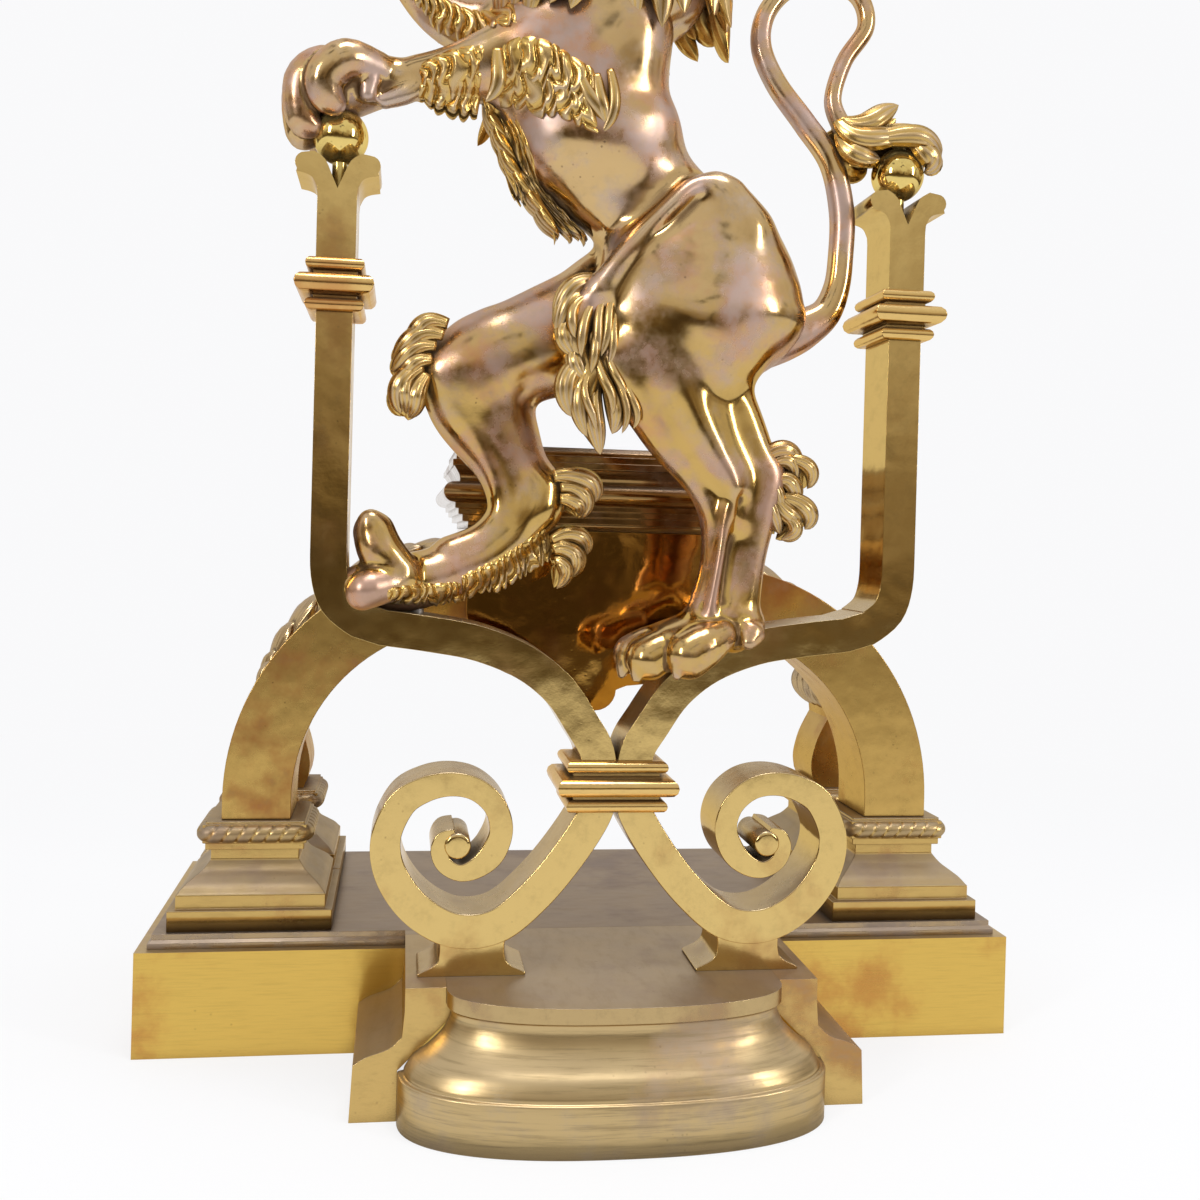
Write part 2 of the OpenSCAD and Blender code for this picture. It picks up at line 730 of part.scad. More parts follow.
module middle_collar() color("darkgoldenrod")
    difference() {
        translate([0, frame_mid, join_z - collar_h / 2]) moulding(2 * band + 8, frame_d, collar_rows());
        for (s = [0, 1]) mirror([s, 0, 0]) upright(frame_y, frame_d) {
            scroll_bar_outline();
            frame_arm_outline();
        }
        at_collar_pins() cylinder(r = pin_r, h = 2 * frame_d);
    }

module at_collar_pins()
    for (x = [-1, 1], z = [-1, 1])
        translate([x * band / 2, frame_y + pin_cover, join_z + z * pin_rise]) rotate([-90, 0, 0]) children();

module at_upright_dowels()
    for (s = [-1, 1]) translate([s * upright_x, frame_mid, arm_top - dowel_bite]) children();

module upright_collar(side) color("darkgoldenrod")
    difference() {
        translate([side * upright_x, frame_mid, arm_top]) moulding(band + 2, frame_d, collar_rows());
        at_upright_dowels() cylinder(r = screw_r, h = dowel_l);
    }

module upright_collar_left() upright_collar(-1);
module upright_collar_right() upright_collar(1);

// Shaft that splits at its head into two rolled tongues
module split_head_outline() {
    half = band / 2 + 0.8;
    right = concat(
        [[half, shaft_z], [half, head_z - 4]],
        smooth([
            [half + 0.3, head_z], [half + 2.5, head_z + 4.5], [half + 6, head_z + 6.5],
            [half + 11, head_z + 7.5]
        ], 3),
        arc([half + 6.5, head_z + 12.5], 5.2, -40, 90, 6),
        smooth([
            [half + 2, head_z + 18.4], [half - 3.5, head_z + 14.5], [2.2, head_z + 5], [0, head_z]
        ], 3)
    );
    polygon(concat(right, reversed([for (p = right) [-p.x, p.y]])));
}

module split_head(side) color("khaki")
    difference() {
        translate([side * upright_x, 0, 0]) upright(frame_y, frame_d) split_head_outline();
        ball_form(side);
        at_upright_dowels() cylinder(r = screw_r, h = dowel_l);
        at_balls() stud_hole();
    }

module split_head_left() split_head(-1);
module split_head_right() split_head(1);

module at_balls()
    for (s = [-1, 1]) translate([s * upright_x, frame_mid, ball_z]) children();

module stud_hole()
    translate([0, 0, -stud_down]) cylinder(r = screw_r, h = stud_down + stud_up);

module ball_form(side, gap = 0)
    translate([side * upright_x, frame_mid, ball_z]) sphere(r = ball_r + gap);

module ball(side) color("gold")
    difference() {
        ball_form(side);
        at_balls() stud_hole();
    }

module ball_left() ball(-1);
module ball_right() ball(1);

// ---------- Lion ----------
// Heights in the lion's rows are over the platform. The near side of the lion is towards -Y.

lion_y = frame_mid;
near = lion_y - 0.42 * lion_depth;
far = lion_y + 0.42 * lion_depth;
g = plate_z;
deep = lion_depth;

module lion_body_form() {
    limb([
        [62, lion_y, g + 352, 36, 0.84 * deep], [54, lion_y, g + 370, 42, 0.92 * deep],
        [36, lion_y, g + 390, 38, 0.84 * deep], [12, lion_y, g + 415, 35, 0.74 * deep],
        [-11, lion_y, g + 438, 40, 0.86 * deep], [-25, lion_y, g + 463, 46, deep],
        [-28, lion_y, g + 492, 49, deep], [-24, lion_y, g + 524, 46, 0.95 * deep]
    ]);
    limb([
        [52, near, g + 392, 28, 0.56 * deep], [50, near, g + 366, 47, 0.70 * deep],
        [34, near, g + 334, 42, 0.62 * deep], [22, near, g + 316, 30, 0.48 * deep]
    ]);
    // hair down the chest and belly
    locks([for (i = [0 : 5])
        let (p = [-52 + 9 * i, lion_y, g + 462 - 14 * i])
        [p, p + [6, 0, -20], 9 - 0.6 * i, 3]]);
    locks([for (s = [-1, 1], i = [0 : 2])
        let (p = [-48 + 12 * i, lion_y + 14 * s, g + 454 - 18 * i]) [p, p + [6, 0, -18], 7, 2.5]]);
}

module lion_body() color("tan") lion_body_form();

module lion_near_hind_leg_form() {
    limb([
        [20, near, g + 330, 34, 0.52 * deep], [34, near - 1, g + 296, 26, 0.44 * deep],
        [56, near, g + 277, 22, 0.40 * deep], [69, near + 3, g + 252, 17, 0.36 * deep],
        [70, near + 4, g + 232, 14, 0.33 * deep], [63, near + 2, g + 206, 14, 0.34 * deep],
        [59, near - 1, g + 190, 15, 0.40 * deep]
    ]);
    limb([
        [70, lion_y - 8, g + 190, 9, 0.38 * deep], [50, lion_y - 12, g + 186, 11, 0.46 * deep],
        [34, lion_y - 16, g + 180, 12, 0.50 * deep]
    ]);
    // toes over the edge of the arm
    locks([for (i = [0 : 3])
        [[30 - 6 * i, lion_y - 22 + 11 * i, g + 178], [16 - 3 * i, lion_y - 26 + 12 * i, g + 168], 9.5, 8]]);
    // hair at the knee and the hock
    locks([
        [[-2, near - 8, g + 366], [-14, near - 10, g + 340], 11, 8],
        [[-12, near - 8, g + 342], [-14, near - 8, g + 312], 9, 6],
        [[-6, near - 8, g + 318], [-4, near - 8, g + 288], 10, 4],
        [[4, near - 6, g + 322], [8, near - 6, g + 298], 11, 5],
        [[80, near, g + 278], [98, near, g + 264], 9, 8],
        [[84, near, g + 262], [98, near, g + 244], 9, 6]
    ]);
}

module lion_near_hind_leg() color("tan")
    difference() {
        lion_near_hind_leg_form();
        lion_body_form();
        upright(frame_y - frame_d, 3 * frame_d) frame_arm_outline();
        lion_dowel_holes();
    }

module lion_far_hind_leg_form() {
    limb([
        [34, far, g + 380, 34, 0.58 * deep], [0, far, g + 354, 38, 0.60 * deep],
        [-34, far, g + 334, 36, 0.56 * deep], [-76, far, g + 326, 26, 0.50 * deep],
        [-92, far, g + 322, 19, 0.44 * deep]
    ]);
    limb([
        [-84, far, g + 318, 24, 0.48 * deep], [-70, far, g + 290, 25, 0.42 * deep],
        [-57, far - 2, g + 265, 20, 0.36 * deep], [-48, far - 4, g + 246, 17, 0.34 * deep]
    ]);
    limb([
        [-44, far - 4, g + 250, 17, 0.34 * deep], [-66, far - 8, g + 223, 16, 0.36 * deep],
        [-92, far - 12, g + 211, 16, 0.44 * deep], [-116, lion_y, g + 206, 16, 0.48 * deep]
    ]);
    // toes, with the inner one standing up against the upright
    locks([for (i = [0 : 3])
        let (reach = -124 + 2 * abs(i - 1.5))
        [[-112, lion_y - 16 + 10 * i, g + 203], [reach, lion_y - 18 + 12 * i, g + 208], 10, 9]]);
    locks([
        [[-122, lion_y, g + 216], [-134, lion_y - 2, g + 236], 10, 10],
        [[-84, far, g + 330], [-108, far, g + 326], 13, 9],
        [[-100, far, g + 326], [-112, far, g + 300], 10, 7],
        [[-32, far, g + 262], [-16, far, g + 254], 10, 8],
        [[-40, far - 4, g + 232], [-22, far - 6, g + 218], 12, 8]
    ]);
}

module lion_far_hind_leg() color("tan")
    difference() {
        lion_far_hind_leg_form();
        lion_body_form();
        lion_near_hind_leg_form();
        upright(frame_y - frame_d, 3 * frame_d) mirror([1, 0]) frame_arm_outline();
        lion_dowel_holes();
    }

module lion_near_foreleg_form() {
    limb([
        [-14, near, g + 500, 38, 0.60 * deep], [-44, near, g + 488, 30, 0.56 * deep],
        [-74, near + 3, g + 478, 20, 0.46 * deep], [-100, near + 8, g + 472, 13, 0.36 * deep],
        [-120, lion_y - 6, g + 470, 11, 0.32 * deep], [-138, lion_y - 3, g + 468, 15, 0.42 * deep],
        [-150, lion_y, g + 466, 17, 0.48 * deep]
    ]);
    // toes that grip the ball
    locks([for (i = [0 : 3])
        let (reach = -176 + 1.5 * abs(i - 1.5))
        [[-160, lion_y - 15 + 10 * i, g + 468], [reach, lion_y - 16 + 11 * i, g + 455], 10, 7.5]]);
    // hair along the elbow
    locks([for (i = [0 : 4])
        let (p = [-72 + 15 * i, near - 6, g + 468 - 2 * i]) [p, p + [8, -1, -16], 10, 4]]);
}

module lion_near_foreleg() color("tan")
    difference() {
        lion_near_foreleg_form();
        lion_body_form();
        ball_form(-1, clear);
        at_balls() stud_hole();
    }

module lion_far_foreleg_form() {
    limb([
        [-28, far, g + 522, 30, 0.56 * deep], [-60, far, g + 512, 22, 0.48 * deep],
        [-88, far, g + 509, 15, 0.38 * deep], [-106, far - 3, g + 516, 13, 0.34 * deep],
        [-119, far - 5, g + 531, 12, 0.32 * deep], [-130, far - 7, g + 549, 12, 0.32 * deep],
        [-139, far - 8, g + 566, 15, 0.40 * deep]
    ]);
    locks([for (i = [0 : 3])
        [[-142, far - 22 + 10 * i, g + 568], [-157, far - 24 + 11 * i, g + 576 + 3 * i], 9, 6]]);
    locks([for (i = [0 : 3])
        let (p = [-62 - 12 * i, far, g + 500 + 2 * i]) [p, p + [-8, 0, -11], 9, 4]]);
}

module lion_far_foreleg() color("tan")
    difference() {
        lion_far_foreleg_form();
        lion_body_form();
        lion_near_foreleg_form();
    }

module lion_head_form() {
    // neck and mane
    limb([
        [-26, lion_y, g + 500, 34, 0.80 * deep], [-10, lion_y, g + 526, 54, 1.02 * deep],
        [-8, lion_y, g + 556, 55, 1.05 * deep], [-20, lion_y, g + 590, 46, 0.95 * deep],
        [-30, lion_y, g + 606, 36, 0.80 * deep]
    ]);
    // skull, muzzle and jaw
    limb([
        [-26, lion_y, g + 604, 30, 26], [-48, lion_y, g + 602, 27, 25], [-66, lion_y, g + 594, 19, 17],
        [-84, lion_y, g + 588, 15, 15], [-92, lion_y, g + 586, 12, 12]
    ]);
    limb([
        [-50, lion_y, g + 578, 14, 16], [-68, lion_y, g + 566, 9, 12], [-82, lion_y, g + 562, 7, 9]
    ]);
    // locks of the mane down the back and the throat
    locks([for (i = [0 : 5])
        let (a = 100 - 28 * i, c = [-12, lion_y, g + 560], p = c + 46 * [cos(a), 0, sin(a)])
        [p, p + [14 * cos(a - 40), 0, 16 * sin(a - 40)], 15, 5]]);
    locks([for (s = [-1, 1], i = [0 : 2])
        let (p = [-40 + 16 * i, lion_y + 26 * s, g + 556 - 12 * i]) [p, p + [-6, 3 * s, -24], 13, 4]]);
}

module lion_head() color("tan")
    difference() {
        lion_head_form();
        lion_body_form();
        lion_near_foreleg_form();
        lion_far_foreleg_form();
    }

tail_rows = [
    [80, lion_y, g + 346, 2.1 * tail_r, 2 * tail_r], [102, lion_y, g + 352, 1.6 * tail_r, 1.6 * tail_r],
    [118, lion_y, g + 367, 1.1 * tail_r, 1.2 * tail_r], [122, lion_y, g + 392, tail_r, 1.1 * tail_r],
    [122, lion_y, g + 418, tail_r, 1.1 * tail_r], [115, lion_y, g + 445, 0.95 * tail_r, tail_r],
    [99, lion_y, g + 466, 0.9 * tail_r, tail_r], [82, lion_y, g + 487, 0.85 * tail_r, 0.9 * tail_r],
    [73, lion_y, g + 507, 0.8 * tail_r, 0.9 * tail_r], [76, lion_y, g + 526, 0.75 * tail_r, 0.85 * tail_r],
    [90, lion_y, g + 541, 0.72 * tail_r, 0.8 * tail_r], [110, lion_y, g + 546, 0.7 * tail_r, 0.8 * tail_r],
    [128, lion_y, g + 539, 0.7 * tail_r, 0.75 * tail_r], [133, lion_y, g + 522, 0.7 * tail_r, 0.75 * tail_r],
    [121, lion_y, g + 502, 0.65 * tail_r, 0.75 * tail_r], [115, lion_y, g + 480, 0.65 * tail_r, 0.75 * tail_r],
    [123, lion_y, g + 464, 0.7 * tail_r, 0.8 * tail_r]
];

module lion_tail_form() limb(tail_rows, 3);

module lion_tail() color("tan")
    difference() {
        lion_tail_form();
        lion_body_form();
    }

module tail_tuft_form() {
    locks([
        [[124, lion_y, g + 462], [142, lion_y, g + 462], 9, 12],
        [[142, lion_y, g + 462], [160, lion_y, g + 468], 12, 7],
        [[146, lion_y - 6, g + 460], [172, lion_y - 8, g + 456], 11, 7],
        [[146, lion_y + 6, g + 460], [170, lion_y + 8, g + 458], 11, 7],
        [[132, lion_y - 4, g + 456], [142, lion_y - 10, g + 450], 9, 8],
        [[132, lion_y + 4, g + 456], [142, lion_y + 10, g + 450], 9, 8],
        [[150, lion_y - 4, g + 458], [160, lion_y - 6, g + 448], 9, 7],
        [[150, lion_y + 4, g + 458], [160, lion_y + 6, g + 448], 9, 7]
    ]);
}

module tail_tuft() color("tan")
    difference() {
        tail_tuft_form();
        ball_form(1, clear);
        lion_tail_form();
        at_balls() stud_hole();
    }

// ---------- Fasteners ----------

module tie_rods() color("gray")
    at_pedestals() translate([0, 0, under_z - washer_t - nut_h - 4])
        cylinder(d = rod_d, h = cap_z + rod_grip - 2 - under_z + washer_t + nut_h + 4);

module tie_rod_nuts() color("dimgray")
    at_pedestals() translate([0, 0, under_z - washer_t - nut_h]) difference() {
        cylinder(r = nut_r, h = nut_h, $fn = 6);
        translate([0, 0, -1]) cylinder(d = rod_d, h = nut_h + 2);
    }

module tie_rod_washers() color("silver")
    at_pedestals() translate([0, 0, under_z - washer_t]) difference() {
        cylinder(r = washer_r, h = washer_t);
        translate([0, 0, -1]) cylinder(r = hole_r, h = washer_t + 2);
    }

module screw(length, head_r) {
    cylinder(d = screw_d, h = length);
    translate([0, 0, -head_h]) cylinder(r = head_r, h = head_h);
}

// Screws up through the ledges and the bow into the platform plate
module platform_screws() color("dimgray") {
    at_platform_screws() translate([0, 0, base_h - ledge_t]) screw(ledge_t + screw_bite - 1, screw_d);
    at_bow_screws() translate([0, 0, under_z]) screw(wall + screw_bite - 1, screw_d);
}

// Screws from inside the block into the rear ends of the brackets
module bracket_screws() color("dimgray")
    at_bracket_screws() translate([0, 0, -wall]) screw(wall + bracket_grip - 1, screw_d);

// Screws up through the platform plate into the feet of the frame
module frame_foot_screws() color("dimgray")
    at_frame_feet() translate([0, 0, base_h]) screw(plate_t + foot_screw_up - 1, screw_d);

module keystone_bolts() color("gray")
    at_keystone_bolts() translate([0, 0, 1]) cylinder(d = screw_d, h = key_rear - key_y - 9 + nut_h + 3);

module keystone_nuts() color("dimgray")
    for (s = [-1, 1]) translate([s * bolt_x, key_rear, bolt_z]) rotate([-90, 0, 0]) difference() {
        cylinder(r = nut_r - 1.5, h = nut_h, $fn = 6);
        translate([0, 0, -1]) cylinder(d = screw_d, h = nut_h + 2);
    }

module at_cornice_screws()
    for (s = [-1, 1])
        translate([s * cornice_screw_x, (arch_rear + key_rear) / 2, crown_z - crown_drop]) children();

module cornice_screws() color("dimgray")
    at_cornice_screws() screw(key_z - crown_z + crown_drop + cornice_bite - 1, screw_d);

module at_crown_dowels()
    for (s = [-1, 1]) translate([s * key_half, ped_rear_y, rear_path[len(rear_path) - 1].y])
        rotate([0, 90, 0]) translate([0, 0, -dowel_bite]) children();

// Dowels between the crown block and the rear scrolls
module crown_dowels() color("gray")
    at_crown_dowels() cylinder(d = screw_d, h = 2 * dowel_bite - 1);

module collar_pins() color("gray")
    at_collar_pins() translate([0, 0, 0.5]) cylinder(d = pin_d, h = frame_d - pin_cover + 3);

module upright_dowels() color("gray")
    at_upright_dowels() translate([0, 0, 1]) cylinder(d = screw_d, h = dowel_l - 2);

// Studs that hold each ball to its split head and to the paw or tuft above it
module ball_studs() color("gray")
    at_balls() translate([0, 0, 1 - stud_down]) cylinder(d = screw_d, h = stud_down + stud_up - 2);

module at_lion_dowels() {
    translate([58, frame_mid, plate_z + 166]) children();
    translate([-108, frame_mid, plate_z + 178]) children();
}

module lion_dowel_holes()
    at_lion_dowels() cylinder(r = screw_r, h = lion_dowel_l);

// Dowels between the arms and the lion's hind feet
module lion_foot_dowels() color("gray")
    at_lion_dowels() translate([0, 0, 0.5]) cylinder(d = screw_d, h = lion_dowel_l - 1);

base_casting();
base_top_plate();
platform_plate();
bracket_left();
bracket_right();
bow_front();
pedestal_front_left();
pedestal_front_right();
pedestal_rear_left();
pedestal_rear_right();
front_arch();
rear_scroll_left();
rear_scroll_right();
acanthus_left();
acanthus_right();
keystone_plaque();
crown_block();
cornice();
foot_scroll_left();
foot_scroll_right();
middle_collar();
frame_arm_left();
frame_arm_right();
upright_collar_left();
upright_collar_right();
split_head_left();
split_head_right();
ball_left();
ball_right();
lion_body();
lion_head();
lion_near_foreleg();
lion_far_foreleg();
lion_near_hind_leg();
lion_far_hind_leg();
lion_tail();
tail_tuft();
tie_rods();
tie_rod_nuts();
tie_rod_washers();
platform_screws();
bracket_screws();
frame_foot_screws();
keystone_bolts();
keystone_nuts();
cornice_screws();
crown_dowels();
collar_pins();
upright_dowels();
ball_studs();
lion_foot_dowels();
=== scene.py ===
import math

import bmesh
import bpy
import numpy as np
from mathutils import Matrix, Vector


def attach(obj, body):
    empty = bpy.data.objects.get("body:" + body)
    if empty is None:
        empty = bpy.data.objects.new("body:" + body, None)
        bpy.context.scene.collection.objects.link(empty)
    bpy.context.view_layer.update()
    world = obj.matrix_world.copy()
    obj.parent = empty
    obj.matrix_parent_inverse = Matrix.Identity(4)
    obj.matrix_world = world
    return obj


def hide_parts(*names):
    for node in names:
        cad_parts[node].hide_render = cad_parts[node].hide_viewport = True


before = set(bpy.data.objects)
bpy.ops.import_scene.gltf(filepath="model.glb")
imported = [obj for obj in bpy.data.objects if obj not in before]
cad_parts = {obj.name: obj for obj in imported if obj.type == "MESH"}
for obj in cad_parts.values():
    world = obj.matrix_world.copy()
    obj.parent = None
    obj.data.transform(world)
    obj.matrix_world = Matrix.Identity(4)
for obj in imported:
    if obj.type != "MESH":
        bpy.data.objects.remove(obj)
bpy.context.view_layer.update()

# ---------- Camera ----------
# The andiron is seen from a little left of its middle, with the lens at the height of the cornice.
camera_place = Vector((-0.11567, -0.78899, 0.29956))
camera_turn = 0.145019
camera_tilt = math.radians(-0.37)
camera_roll = 0.026673

across = Vector((math.cos(camera_turn), -math.sin(camera_turn), 0))
ahead = Vector((math.sin(camera_turn) * math.cos(camera_tilt),
                math.cos(camera_turn) * math.cos(camera_tilt), math.sin(camera_tilt)))
upward = across.cross(ahead)
right = across * math.cos(camera_roll) + upward * math.sin(camera_roll)
top = upward * math.cos(camera_roll) - across * math.sin(camera_roll)
camera = bpy.data.objects.new("camera", bpy.data.cameras.new("camera"))
camera.matrix_world = Matrix((
    (right.x, top.x, -ahead.x, camera_place.x), (right.y, top.y, -ahead.y, camera_place.y),
    (right.z, top.z, -ahead.z, camera_place.z), (0, 0, 0, 1)))
camera.data.sensor_width = 36
camera.data.lens = 38.897
camera.data.shift_x = 0.00595
camera.data.shift_y = -0.04383
camera.data.clip_start = 0.02
bpy.context.collection.objects.link(camera)
bpy.context.scene.camera = camera
bpy.context.scene.view_settings.view_transform = "Standard"


# ---------- Floor, surroundings and light ----------
# A white sweep under and behind the andiron, a dim room in front of it, and soft lamps left, right and above.
# The polished metal shows all three: white from the sweep, brown from the room, bright bars from the lamps.
class Shade:
    """A shader socket. Sums, differences and products of it with numbers or others add Math nodes."""

    def __init__(self, tree, socket=None):
        self.tree = tree
        self.socket = socket

    def node(self, kind, settings=None, sockets=None, out=0):
        """Any node of a kind: its settings first, a ramp's stops among them, then values or links by socket."""
        made = self.tree.nodes.new("ShaderNode" + kind)
        for key, value in (settings or {}).items():
            if key == "stops":
                elements = made.color_ramp.elements
                elements.remove(elements[1])
                elements[0].position, elements[0].color = value[0][0], (*value[0][1], 1)
                for place, colour in value[1:]:
                    elements.new(place).color = (*colour, 1)
            else:
                setattr(made, key, value)
        for key, value in (sockets or {}).items():
            if isinstance(value, Shade):
                self.tree.links.new(value.socket, made.inputs[key])
            else:
                made.inputs[key].default_value = value
        return Shade(self.tree, made.outputs[out])

    def math(self, how, first, second):
        return self.node("Math", {"operation": how}, {0: first, 1: second})

    def step(self, low, high):
        """0 below low, 1 above high, and an even rise between."""
        return self.node("MapRange", {"interpolation_type": "SMOOTHSTEP"}, {0: self, 1: low, 2: high, 3: 0.0, 4: 1.0})

    def blend(self, first, second):
        """The first colour where this value is 0 and the second where it is 1."""
        first, second = [c if isinstance(c, Shade) else (*c, 1) for c in (first, second)]
        return self.node("Mix", {"data_type": "RGBA"}, {0: self, 6: first, 7: second}, out=2)


for sign, how in (("add", "ADD"), ("sub", "SUBTRACT"), ("mul", "MULTIPLY")):
    setattr(Shade, "__%s__" % sign, lambda self, other, how=how: self.math(how, self, other))
    setattr(Shade, "__r%s__" % sign, lambda self, other, how=how: self.math(how, other, self))


def painted(name, colour=(0.8, 0.8, 0.8), rough=0.5):
    """A new material of one plain colour and roughness."""
    paint = bpy.data.materials.new(name)
    paint.use_nodes = True
    base = paint.node_tree.nodes["Principled BSDF"]
    base.inputs["Base Color"].default_value = (*colour, 1)
    base.inputs["Roughness"].default_value = rough
    return paint


def meshed(name, points, faces, finish, **values):
    """A piece of points and faces, shaded smooth, with one finish. Values at its points are there for the finish."""
    mesh = bpy.data.meshes.new(name)
    mesh.from_pydata(np.asarray(points, float).reshape(-1, 3).tolist(), [], faces)
    mesh.polygons.foreach_set("use_smooth", np.ones(len(mesh.polygons), bool))
    for kind, value in values.items():
        mesh.attributes.new(kind, "FLOAT", "POINT").data.foreach_set("value", value.reshape(-1).astype(np.float32))
    mesh.materials.append(finish)
    return bpy.data.objects.new(name, mesh)


def grid_mesh(name, points, finish, around=False, ring=False, caps=(), **values):
    """A mesh over a grid of points, rows by columns. Columns may run around, rows may run in a ring, and caps name
    closed end rows."""
    rows, cols = points.shape[:2]
    index = np.arange(rows * cols).reshape(rows, cols)
    ends = [index[0, ::-1].tolist(), index[-1].tolist()]
    if around:
        index = np.concatenate([index, index[:, :1]], axis=1)
    if ring:
        index = np.concatenate([index, index[:1]])
    faces = np.stack([index[:-1, :-1], index[:-1, 1:], index[1:, 1:], index[1:, :-1]], axis=-1).reshape(-1, 4)
    return meshed(name, points, faces.tolist() + [ends[row] for row in caps], finish, **values)


def rays(shade):
    """Whether the camera itself sees the surface, and whether it or anything shiny or clear does: 1 or 0."""
    path = shade.tree.nodes.new("ShaderNodeLightPath")
    camera_ray, glossy_ray, clear_ray = [Shade(shade.tree, path.outputs["Is %s Ray" % kind])
                                         for kind in ("Camera", "Glossy", "Transmission")]
    return camera_ray, shade.math("MAXIMUM", shade.math("MAXIMUM", camera_ray, glossy_ray), clear_ray)


sweep_white = (0.95, 0.95, 0.96)
floor_reach = 6
floor = meshed("floor", [(-floor_reach, -floor_reach, 0), (floor_reach, -floor_reach, 0), (floor_reach, floor_reach, 0),
                         (-floor_reach, floor_reach, 0)], [(0, 1, 2, 3)], painted("floor", (0.93, 0.93, 0.93), 0.9))
bpy.context.collection.objects.link(floor)
floor_tree = floor.data.materials[0].node_tree
floor_shade = Shade(floor_tree)
floor_point = floor_shade.node("TexCoord", out="Object")
camera_ray, seen = rays(floor_shade)
# Polished metal sees the floor dark far in front of the andiron, where the room stands, and pale elsewhere.
pale = floor_shade.math("MAXIMUM", floor_shade.node("SeparateXYZ", None, {0: floor_point}, out="Y").step(-2.1, -1.2),
                        camera_ray)
glow = floor_shade.node("Emission", None, {"Color": pale.blend((0.12, 0.085, 0.05), sweep_white), "Strength": 1.0})
paint = Shade(floor_tree, floor_tree.nodes["Principled BSDF"].outputs[0])
# Close to the andiron a fifth of the floor is paint, which takes its shadow.
far_off = floor_shade.node("VectorMath", {"operation": "LENGTH"}, {0: floor_point}, out="Value").step(0.45, 1.3)
floor_tree.links.new(floor_shade.node("MixShader", None, {0: seen * (0.8 + 0.2 * far_off), 1: paint, 2: glow}).socket,
                     floor_tree.nodes["Material Output"].inputs[0])

world = bpy.data.worlds.new("sweep")
bpy.context.scene.world = world
world.use_nodes = True
world_tree = world.node_tree
sky = Shade(world_tree)
world_tree.links.new(rays(sky)[1].blend((0.72, 0.73, 0.75), sweep_white).socket,
                     world_tree.nodes["Background"].inputs["Color"])

# The room is part of a dome on the lens's side, dim and brown with a few pale things in it.
turn, rise = np.meshgrid(np.radians(np.linspace(-112, 112, 41)), np.radians(np.linspace(1.5, 84, 25)))
room_radius = 2.7
dome = room_radius * np.stack([np.sin(turn) * np.cos(rise), -np.cos(turn) * np.cos(rise), np.sin(rise)], axis=-1)
room = grid_mesh("room", dome, painted("room"))
bpy.context.collection.objects.link(room)
room_tree = room.data.materials[0].node_tree
wall = Shade(room_tree)
wall_point = wall.node("TexCoord", out="Object")
height = wall.node("SeparateXYZ", None, {0: wall_point}, out="Z")
things = wall.node("TexNoise", None, {"Vector": wall_point, "Scale": 0.95, "Detail": 4.0, "Roughness": 0.6}, out="Fac")
clutter = wall.node("TexNoise", None, {"Vector": wall_point, "Scale": 1.5, "Detail": 3.0, "Roughness": 0.6}, out="Fac")
view = wall.node("ValToRGB", {"stops": [(0.05, (0.075, 0.052, 0.028)), (0.2, (0.185, 0.13, 0.072)),
                                        (0.33, (0.42, 0.35, 0.27)), (0.5, (0.74, 0.71, 0.67)),
                                        (0.9, (0.84, 0.83, 0.82))]}, {0: height * 0.42 + 1.1 * (things - 0.5) + 0.03})
view = (clutter.step(0.57, 0.64) * 0.85).blend(view, (0.05, 0.034, 0.018))
room_glow = wall.node("Emission", None, {"Color": view, "Strength": 1.0})
room_tree.links.new(room_glow.socket, room_tree.nodes["Material Output"].inputs[0])
room.visible_camera = False
room.visible_shadow = False
room.visible_diffuse = False


def lamp(name, place, aim, wide, high, power):
    """A soft flat lamp at a place, turned towards an aim."""
    light = bpy.data.lights.new(name, "AREA")
    light.shape = "RECTANGLE"
    light.size, light.size_y, light.energy = wide, high, power
    holder = bpy.data.objects.new(name, light)
    turn = (Vector(aim) - Vector(place)).to_track_quat("-Z", "Y")
    holder.matrix_world = Matrix.Translation(place) @ turn.to_matrix().to_4x4()
    holder.visible_camera = False
    bpy.context.collection.objects.link(holder)


lamp("left_lamp", (-1.5, -1.5, 1.0), (0, 0, 0.3), 0.3, 0.8, 14)
lamp("right_lamp", (1.6, -1.3, 0.9), (0, 0, 0.3), 0.25, 0.9, 11)
lamp("top_lamp", (0.1, -0.5, 2.1), (0, 0, 0.2), 0.9, 0.6, 18)


